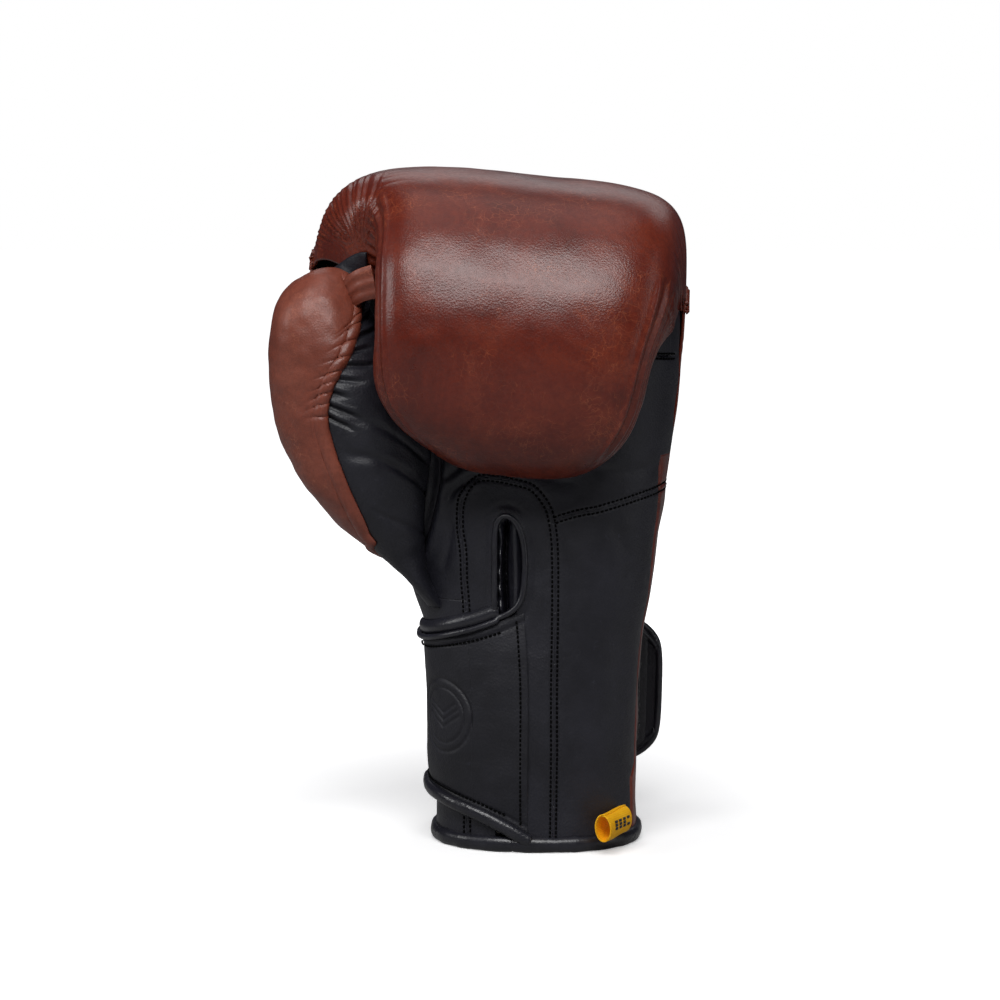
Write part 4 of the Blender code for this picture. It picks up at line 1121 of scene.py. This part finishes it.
def make_strap_edges():
    """The cords and bindings along the strap's edges."""
    for (key, start, stop, bodies), side in zip(LENGTHS[:2], ("front", "side")):
        degrees = np.linspace(start, stop, 90)
        top = upper_piping(degrees, key == "a")
        obj = outward(tube(f"strap_upper_piping_{key}", top, 1.35, GLOSS, ends=key == "a"))
        settle(obj, bodies, "black_binding", f"strap_{side}_binding_top")
        bottom = edge_path(degrees, False, -0.5, 0.6)
        name = f"strap_lower_binding_{key}"
        obj = outward(tube(name, bottom, 2.3, GLOSS, flat=1.3, sides=14, up=(0, 0, 1), wave=0.02))
        settle(obj, bodies, "black_binding", f"strap_{side}_binding_bottom")
    degrees = np.linspace(STRAP_SPLITS[1], STRAP_STOP + 1.2, 150)
    low, high = edge_path(degrees, False, -0.6, 0.3), edge_path(degrees, True, -0.6, 0.3)
    turn = np.linspace(0, 1, 50)[1:-1, None]
    push = body(STRAP_STOP - 1.2, 62, 24.8) - body(STRAP_STOP + 1.2, 62, 24.8)
    end = low[-1] * (1 - turn) + high[-1] * turn + push * (1 - (2 * turn - 1) ** 4)
    loop = smoothed(np.concatenate([low, end, high[::-1]]), 8)
    obj = outward(tube("strap_tail_binding_visible", loop, 1.7, GLOSS, ends=False))
    settle(obj, TAIL_BODIES, "black_binding", "strap_tail_binding")


def make_folded_band():
    """The band folded over above the strap's upper edge."""
    for key, start, stop, bodies in (("a", 259.0, 240.0, ROOT_BODIES), ("b", 240.0, 184.0, SIDE_BODIES)):
        degrees = np.linspace(start, stop, 120)
        _, high, stand = rows(STRAP, degrees)
        v = np.linspace(0, 1, 36)
        opening = ease((262 - degrees) / 5)[:, None]
        z = high[:, None] + 1.0 + 7.0 * opening * v[None, :]
        arch = 2.3 * np.sin(np.pi * np.clip(v * 0.96 + 0.02, 0, 1))[None, :] ** 0.7
        lift = (0.2 + arch) * opening
        strip = body(degrees[:, None], z, lift - 0.2 + 0.45 * (stand[:, None] - 1.5) * (1 - v[None, :]))
        obj = grid_object(f"strap_folded_band_{key}", strip, GLOSS)
        turn_outwards(obj)
        thicken(obj, 1.2)
        settle(obj, bodies, "black_binding")


def make_strap_linings():
    """The strap's lining, the hooks on its tail and the loop pile on the cuff's back."""
    split = STRAP_SPLITS[1]
    for name, start, stop, out, thick, inset, mat, bodies, node in (
        ("strap_side_lining", 222.0, split, -2.3, 0.7, 3.0, LINING, SIDE_BODIES, "strap_side_backing"),
        ("strap_tail_lining", split, 45.0, -2.6, 0.8, 2.5, LINING, TAIL_BODIES, "strap_tail_backing"),
        ("strap_hooks", 118.0, 47.0, -3.6, 1.6, 5.0, PILE, ("strap_tail",), "hook_patch"),
    ):
        points = strap_grid(np.linspace(start, stop, 130), np.linspace(0, 1, 60), out, inset, 0.6)
        if mat is PILE:
            points = points + np.random.default_rng(3).normal(0, TUFT, points.shape)
        obj = grid_object(name, points, mat)
        turn_outwards(obj)
        thicken(obj, thick)
        settle(obj, bodies, "hook_and_loop" if mat is PILE else "lining", node)
    points = body(np.linspace(38, 135, 150)[:, None], np.linspace(40, 92, 60)[None, :], 1.6)
    points = points + np.random.default_rng(4).normal(0, TUFT, points.shape)
    obj = grid_object("loop_pile", points, PILE)
    turn_along(obj, (0, 1, 0))
    thicken(obj, 1.1)
    finish_piece(obj, "glove", "hook_and_loop", "loop_patch")


# ---------------------------------------------------------------- thumb tab, painted shade above the thumb, and label


def make_thumb_tab():
    """The short strap between the thumb and the fist."""
    start, end = np.array([-78.5, -43.0, 248.0]), np.array([-65.5, -52.0, 254.5])
    tu, tv = np.meshgrid(np.linspace(0, 1, 50), np.linspace(-1, 1, 50), indexing="ij")
    sag = np.sin(math.pi * tu)
    tab = start + (end - start) * tu[..., None]
    tab[..., 0] += -1.2 * sag - 1.6 * tv
    tab[..., 2] += (6.6 + 0.6 * tu) * tv + 0.8 * sag
    tab[..., 1] += 0.5 * tv**2 - 1.6 * sag - 0.25 * np.cos(tv * 9)
    obj = grid_object("thumb_tab_strap", tab, THUMB_BROWN)
    turn_along(obj, (0, -1, 0))
    thicken(obj, 1.6)
    finish_piece(obj, "glove", "thumb_leather", "thumb_tab")


def make_gap_painted_shade(fist):
    """Painted shade: a black sheet laid on the fist's side above the thumb, under the lowest gathers, where
    the gap is in shade.
    """
    u, v = np.meshgrid(np.linspace(0, 1, 40), np.linspace(0, 1, 30), indexing="ij")
    patch = np.zeros((40, 30, 3))
    patch[..., 0] = -94 + 23.5 * u
    patch[..., 2] = 244 + (257.5 + 9.5 * ease(u * 1.05) - 244) * v
    side = fist[150:420, :120].reshape(-1, 3)
    for i, j in np.ndindex(40, 30):
        near = np.hypot(side[:, 0] - patch[i, j, 0], side[:, 2] - patch[i, j, 2]) < 2.5
        patch[i, j, 1] = side[near, 1].min() if near.any() else -30.0
    y = patch[..., 1]
    for _ in range(12):
        y[1:-1, :] = 0.25 * y[:-2, :] + 0.5 * y[1:-1, :] + 0.25 * y[2:, :]
        y[:, 1:-1] = 0.25 * y[:, :-2] + 0.5 * y[:, 1:-1] + 0.25 * y[:, 2:]
    y += 0.6 * v**6 + 0.25 * ripples(patch, 9, 71)
    y -= 1.5 * np.sin(math.pi * v) ** 0.5 * np.sin(math.pi * (0.06 + 0.9 * u)) ** 0.5
    # painted shade: black leather laid over the fist's brown side where the gap above the thumb falls into
    # shade
    obj = grid_object("thumb_gap_painted_shade", patch, BLACK)
    turn_along(obj, (0, -1, 0))
    thicken(obj, 0.8)
    finish_piece(obj, "glove", "black_leather")


def make_label():
    """The folded ribbon at the rim, with three rows of plain dashes where its print would be."""
    foot = body(front_angle(np.array(34.5), np.array(12.0)), np.array(12.0), 7.0).reshape(3)
    foot = foot + np.array([0, 0, 1.2])
    tangent = (body(313.0, 12.0, 3.9) - body(309.0, 12.0, 3.9)).reshape(3)
    tangent = tangent / np.linalg.norm(tangent)
    away = np.array([tangent[1], -tangent[0], 0])
    tangent, away = tangent * 0.88 - away * 0.475, away * 0.88 + tangent * 0.475
    up = np.array([0, 0, 1.0])
    lu, lv = np.meshgrid(np.linspace(0, 1, 120), np.linspace(-1, 1, 60), indexing="ij")
    swing = 2 * math.pi * (lu * 1.06 + 0.22)
    wide, tall = 4.3 - 0.5 * lu, 6.4 - 0.5 * lu
    label = foot + away * (np.cos(swing) * wide)[..., None] + up * (np.sin(swing) * tall)[..., None]
    label = label + tangent * (lv * 10.6)[..., None]
    label[..., 2] += 0.35 * np.sin(lv * 2.3) + 0.5 * lv * np.cos(swing) * 0.6
    obj = grid_object("size_label_loop", label, YELLOW)
    middle = obj.data.polygons[len(obj.data.polygons) // 2]
    turn_along(obj, middle.center - Vector(to_world(foot)))
    thicken(obj, 0.6)
    finish_piece(obj, "label", "label_ribbon", "size_label")
    verts, faces = [], []
    for row, height in enumerate((0.36, 0.12, -0.12)):
        for k in range(4 - row % 2):
            base = len(verts)
            for along in (-6.4 + 4.0 * k, -6.4 + 4.0 * k + 2.4):
                for a in (math.asin(height) - 0.09, math.asin(height) + 0.09):
                    rise = away * (math.cos(a) * 4.22) + up * (math.sin(a) * 6.3)
                    verts.append(foot + rise + tangent * along)
            faces.append([base, base + 2, base + 3, base + 1])
    obj = mesh_object("size_label_marks", to_world(np.array(verts)), faces, MARKS)
    turn_along(obj, away)
    thicken(obj, 0.25, 0.0)
    finish_piece(obj, "label", "label_ribbon")


# ---------------------------------------------------------------- stitching


def stitch_palm():
    """Double rows beside the palm's seams and a single one beside the thumb's."""
    runs = [palm_run(line, away, 0.12) for line in (SEAM_LEFT[:7], SEAM_ARCH, SEAM_RIGHT)
            for away in (-STITCH_OFF, STITCH_OFF)]
    runs += [palm_run(SEAM_THUMB[:4], 1.6), palm_run(SEAM_SIDE, 1.1), palm_run(SEAM_SIDE, -1.1)]
    finish_piece(stitches("palm_stitching", runs, ), "glove", "black_binding")


def stitch_strap():
    """The row that holds the strap to the cuff, and the rows along its edges."""
    shares = np.linspace(0.97, 0.04, 60)
    root, above = (strap_grid(np.array([265.6]), shares, out)[0] for out in (0.1, 1.1))
    obj = stitches("strap_root_stitching", [(root, above - root)])
    finish_piece(obj, "glove", "black_binding")
    for (key, _, _, bodies), start, stop in zip(LENGTHS, (259, 240, 172), (240, 180, 62)):
        degrees = np.linspace(start, stop, 120)
        sewn, above = (strap_grid(degrees, np.array([0.055, 0.945]), out) for out in (0.25, 1.25))
        rows_sewn = [(sewn[:, k], above[:, k] - sewn[:, k]) for k in (0, 1)]
        settle(stitches(f"strap_stitching_{key}", rows_sewn, ), bodies, "black_binding")


# ---------------------------------------------------------------- padding, linings and grip


def bake(obj):
    """Apply an object's modifiers as they stand."""
    graph = bpy.context.evaluated_depsgraph_get()
    fresh = bpy.data.meshes.new_from_object(obj.evaluated_get(graph))
    obj.modifiers.clear()
    obj.data = fresh


def read_points(obj):
    flat = np.zeros(len(obj.data.vertices) * 3)
    obj.data.vertices.foreach_get("co", flat)
    return flat.reshape(-1, 3)


def inflate(obj):
    """Swell a closed mesh with cloth under pressure."""
    cloth = obj.modifiers.new("cloth", "CLOTH")
    cloth.settings.use_pressure = True
    cloth.settings.uniform_pressure_force = 4.0
    cloth.settings.effector_weights.gravity = 0.0
    cloth.settings.quality = 4
    for step in range(1, 21):
        bpy.context.scene.frame_set(step)
    bake(obj)
    bpy.context.scene.frame_set(1)


def pad(obj, shrink, puff, voxel):
    """Remesh a pad a little smaller, swell it by at most puff millimetres and smooth it."""
    remesh = obj.modifiers.new("remesh", "REMESH")
    remesh.mode = "VOXEL"
    remesh.voxel_size = voxel
    bake(obj)
    for v in obj.data.vertices:
        v.co -= v.normal * shrink * 0.001
    start = read_points(obj)
    inflate(obj)
    move = read_points(obj) - start
    far = np.linalg.norm(move, axis=1, keepdims=True)
    move *= np.minimum(1.0, puff * 0.001 / np.maximum(far, 1e-9))
    obj.data.vertices.foreach_set("co", (start + move).ravel())
    smooth = obj.modifiers.new("smooth", "SMOOTH")
    smooth.iterations = 2
    divide = obj.modifiers.new("divide", "SUBSURF")
    divide.levels = divide.render_levels = 1
    bake(obj)


def soft_copy(node, name, mat, slot, body_name, shrink=0.0, puff=0.0, voxel=0.005):
    """A softened stand-in for a plain CAD solid."""
    source = bpy.data.objects[node]
    graph = bpy.context.evaluated_depsgraph_get()
    mesh = bpy.data.meshes.new_from_object(source.evaluated_get(graph))
    mesh.transform(source.matrix_world)
    mesh.materials.clear()
    mesh.materials.append(mat)
    mesh.name = name
    obj = bpy.data.objects.new(name, mesh)
    bpy.context.scene.collection.objects.link(obj)
    if puff:
        pad(obj, shrink, puff, voxel)
    obj.data.shade_smooth()
    finish_piece(obj, body_name, slot, node)


def make_padding():
    """The foams, swelled by simulation, then the linings and the grip."""
    for node, body_name, puff in (
        ("knuckle_foam_outer", "glove", 1.2), ("knuckle_foam_inner", "glove", 1.0),
        ("back_of_hand_pad", "glove", 1.0), ("palm_pad", "glove", 0.8), ("edge_pad", "glove", 1.0),
        ("cuff_pad_back", "glove", 0.6), ("cuff_pad_thumb_side", "glove", 0.6),
        ("cuff_pad_little_finger_side", "glove", 0.6), ("thumb_foam", "thumb", 1.0),
    ):
        shrink = puff + (2.6 if node == "knuckle_foam_outer" else 1.0)
        voxel = 0.003 if "cuff" in node or "palm" in node else 0.004
        soft_copy(node, node + "_soft", FOAM, "foam", body_name, shrink, puff, voxel)
    for node, body_name, slot in (
        ("hand_lining", "glove", "lining"), ("thumb_lining", "thumb", "lining"),
        ("grip_bar_cover", "glove", "lining"), ("grip_bar_core", "glove", "foam"),
    ):
        soft_copy(node, node + "_cloth", LINING, slot, body_name)


# ---------------------------------------------------------------- stage, light, camera

FLOOR_COLOUR, FLOOR_LIT_BY, FLOOR_GLOW = (0.95, 0.95, 0.95), (0.34, 0.34, 0.34), 0.34
AZIMUTH, ELEVATION, DISTANCE, WIDTH = 3.0, 6.0, 1.30, 0.455
TARGET = to_world([-13.5, 0, 154])
LIGHTS = (  # name, place, point it looks at, size, watts, other size
    ("key", (-0.08, -1.36, 1.62), (0, 0, 0.2), 1.9, 36, 0.9),
    ("top", (0.0, 0.15, 1.6), (0, 0, 0.2), 1.0, 2.6, 1.0),
    ("rim", (0.2, 1.2, 1.1), (0, 0, 0.22), 1.4, 2.2, 0.5),
    ("side_left", (-1.35, -0.35, 0.75), (0, 0, 0.12), 0.45, 4, 0.6),
    ("fill_right", (1.5, -0.3, 0.5), (0, 0, 0.15), 0.4, 1.8, 1.2),
)


def make_floor():
    """A pale floor that glows with distance for the camera, so that it runs into the background."""
    bpy.ops.mesh.primitive_plane_add(size=30, location=(0, 0, 0))
    floor = bpy.context.object
    floor.name = "floor"
    n = Nodes("floor")
    n.tree.nodes.remove(n.shader)
    out = next(node for node in n.tree.nodes if node.type == "OUTPUT_MATERIAL")
    seen = n.add("ShaderNodeLightPath").outputs["Is Camera Ray"]
    diffuse = n.add("ShaderNodeBsdfDiffuse")
    n.link(n.blend(seen, FLOOR_LIT_BY, FLOOR_COLOUR), diffuse.inputs["Color"])
    distance = n.add("ShaderNodeVectorMath")
    distance.operation = "LENGTH"
    n.link(n.where, distance.inputs[0])
    glow = n.add("ShaderNodeEmission")
    strength = n.grey(distance.outputs["Value"], 0.12, 0.42, FLOOR_GLOW, 1.05)
    n.link(n.maths("MULTIPLY", strength, seen), glow.inputs["Strength"])
    add = n.add("ShaderNodeAddShader")
    n.link(diffuse.outputs[0], add.inputs[0])
    n.link(glow.outputs[0], add.inputs[1])
    n.link(add.outputs[0], out.inputs[0])
    floor.data.materials.append(n.mat)


def make_world():
    """White where the camera looks past the glove, and a faint light from all round."""
    world = bpy.data.worlds.new("world")
    bpy.context.scene.world = world
    world.use_nodes = True
    nodes, links = world.node_tree.nodes, world.node_tree.links
    nodes.clear()
    out = nodes.new("ShaderNodeOutputWorld")
    seen = nodes.new("ShaderNodeBackground")
    seen.inputs["Color"].default_value = (1, 1, 1, 1)
    light = nodes.new("ShaderNodeBackground")
    light.inputs["Color"].default_value = (0.04, 0.04, 0.05, 1)
    path = nodes.new("ShaderNodeLightPath")
    mix = nodes.new("ShaderNodeMixShader")
    links.new(path.outputs["Is Camera Ray"], mix.inputs[0])
    links.new(light.outputs[0], mix.inputs[1])
    links.new(seen.outputs[0], mix.inputs[2])
    links.new(mix.outputs[0], out.inputs[0])


def make_lights():
    for name, place, target, size, watts, size_y in LIGHTS:
        data = bpy.data.lights.new(name, "AREA")
        data.energy = watts
        data.shape = "RECTANGLE"
        data.size, data.size_y = size, size_y
        lamp = bpy.data.objects.new(name, data)
        bpy.context.scene.collection.objects.link(lamp)
        lamp.location = place
        lamp.rotation_euler = (Vector(target) - Vector(place)).to_track_quat("-Z", "Y").to_euler()

def make_camera():
    data = bpy.data.cameras.new("camera")
    data.sensor_width = 36
    data.lens = 18 / (WIDTH / 2 / DISTANCE)
    camera = bpy.data.objects.new("camera", data)
    bpy.context.scene.collection.objects.link(camera)
    a, e = math.radians(AZIMUTH), math.radians(ELEVATION)
    back = Vector((math.sin(a) * math.cos(e), -math.cos(a) * math.cos(e), math.sin(e)))
    camera.location = Vector(TARGET) + back * DISTANCE
    camera.rotation_mode = "QUATERNION"
    camera.rotation_quaternion = (-back).to_track_quat("-Z", "Y")
    data.clip_start, data.clip_end = 0.05, 50
    bpy.context.scene.camera = camera
    bpy.context.scene.view_settings.view_transform = "Standard"


fist_outside = make_fist()
make_hand()
make_slit()
make_rim()
make_thumb()
make_strap()
make_strap_edges()
make_folded_band()
make_strap_linings()
make_thumb_tab()
make_gap_painted_shade(fist_outside)
make_label()
stitch_palm()
stitch_strap()
make_padding()
make_floor()
make_world()
make_lights()
make_camera()
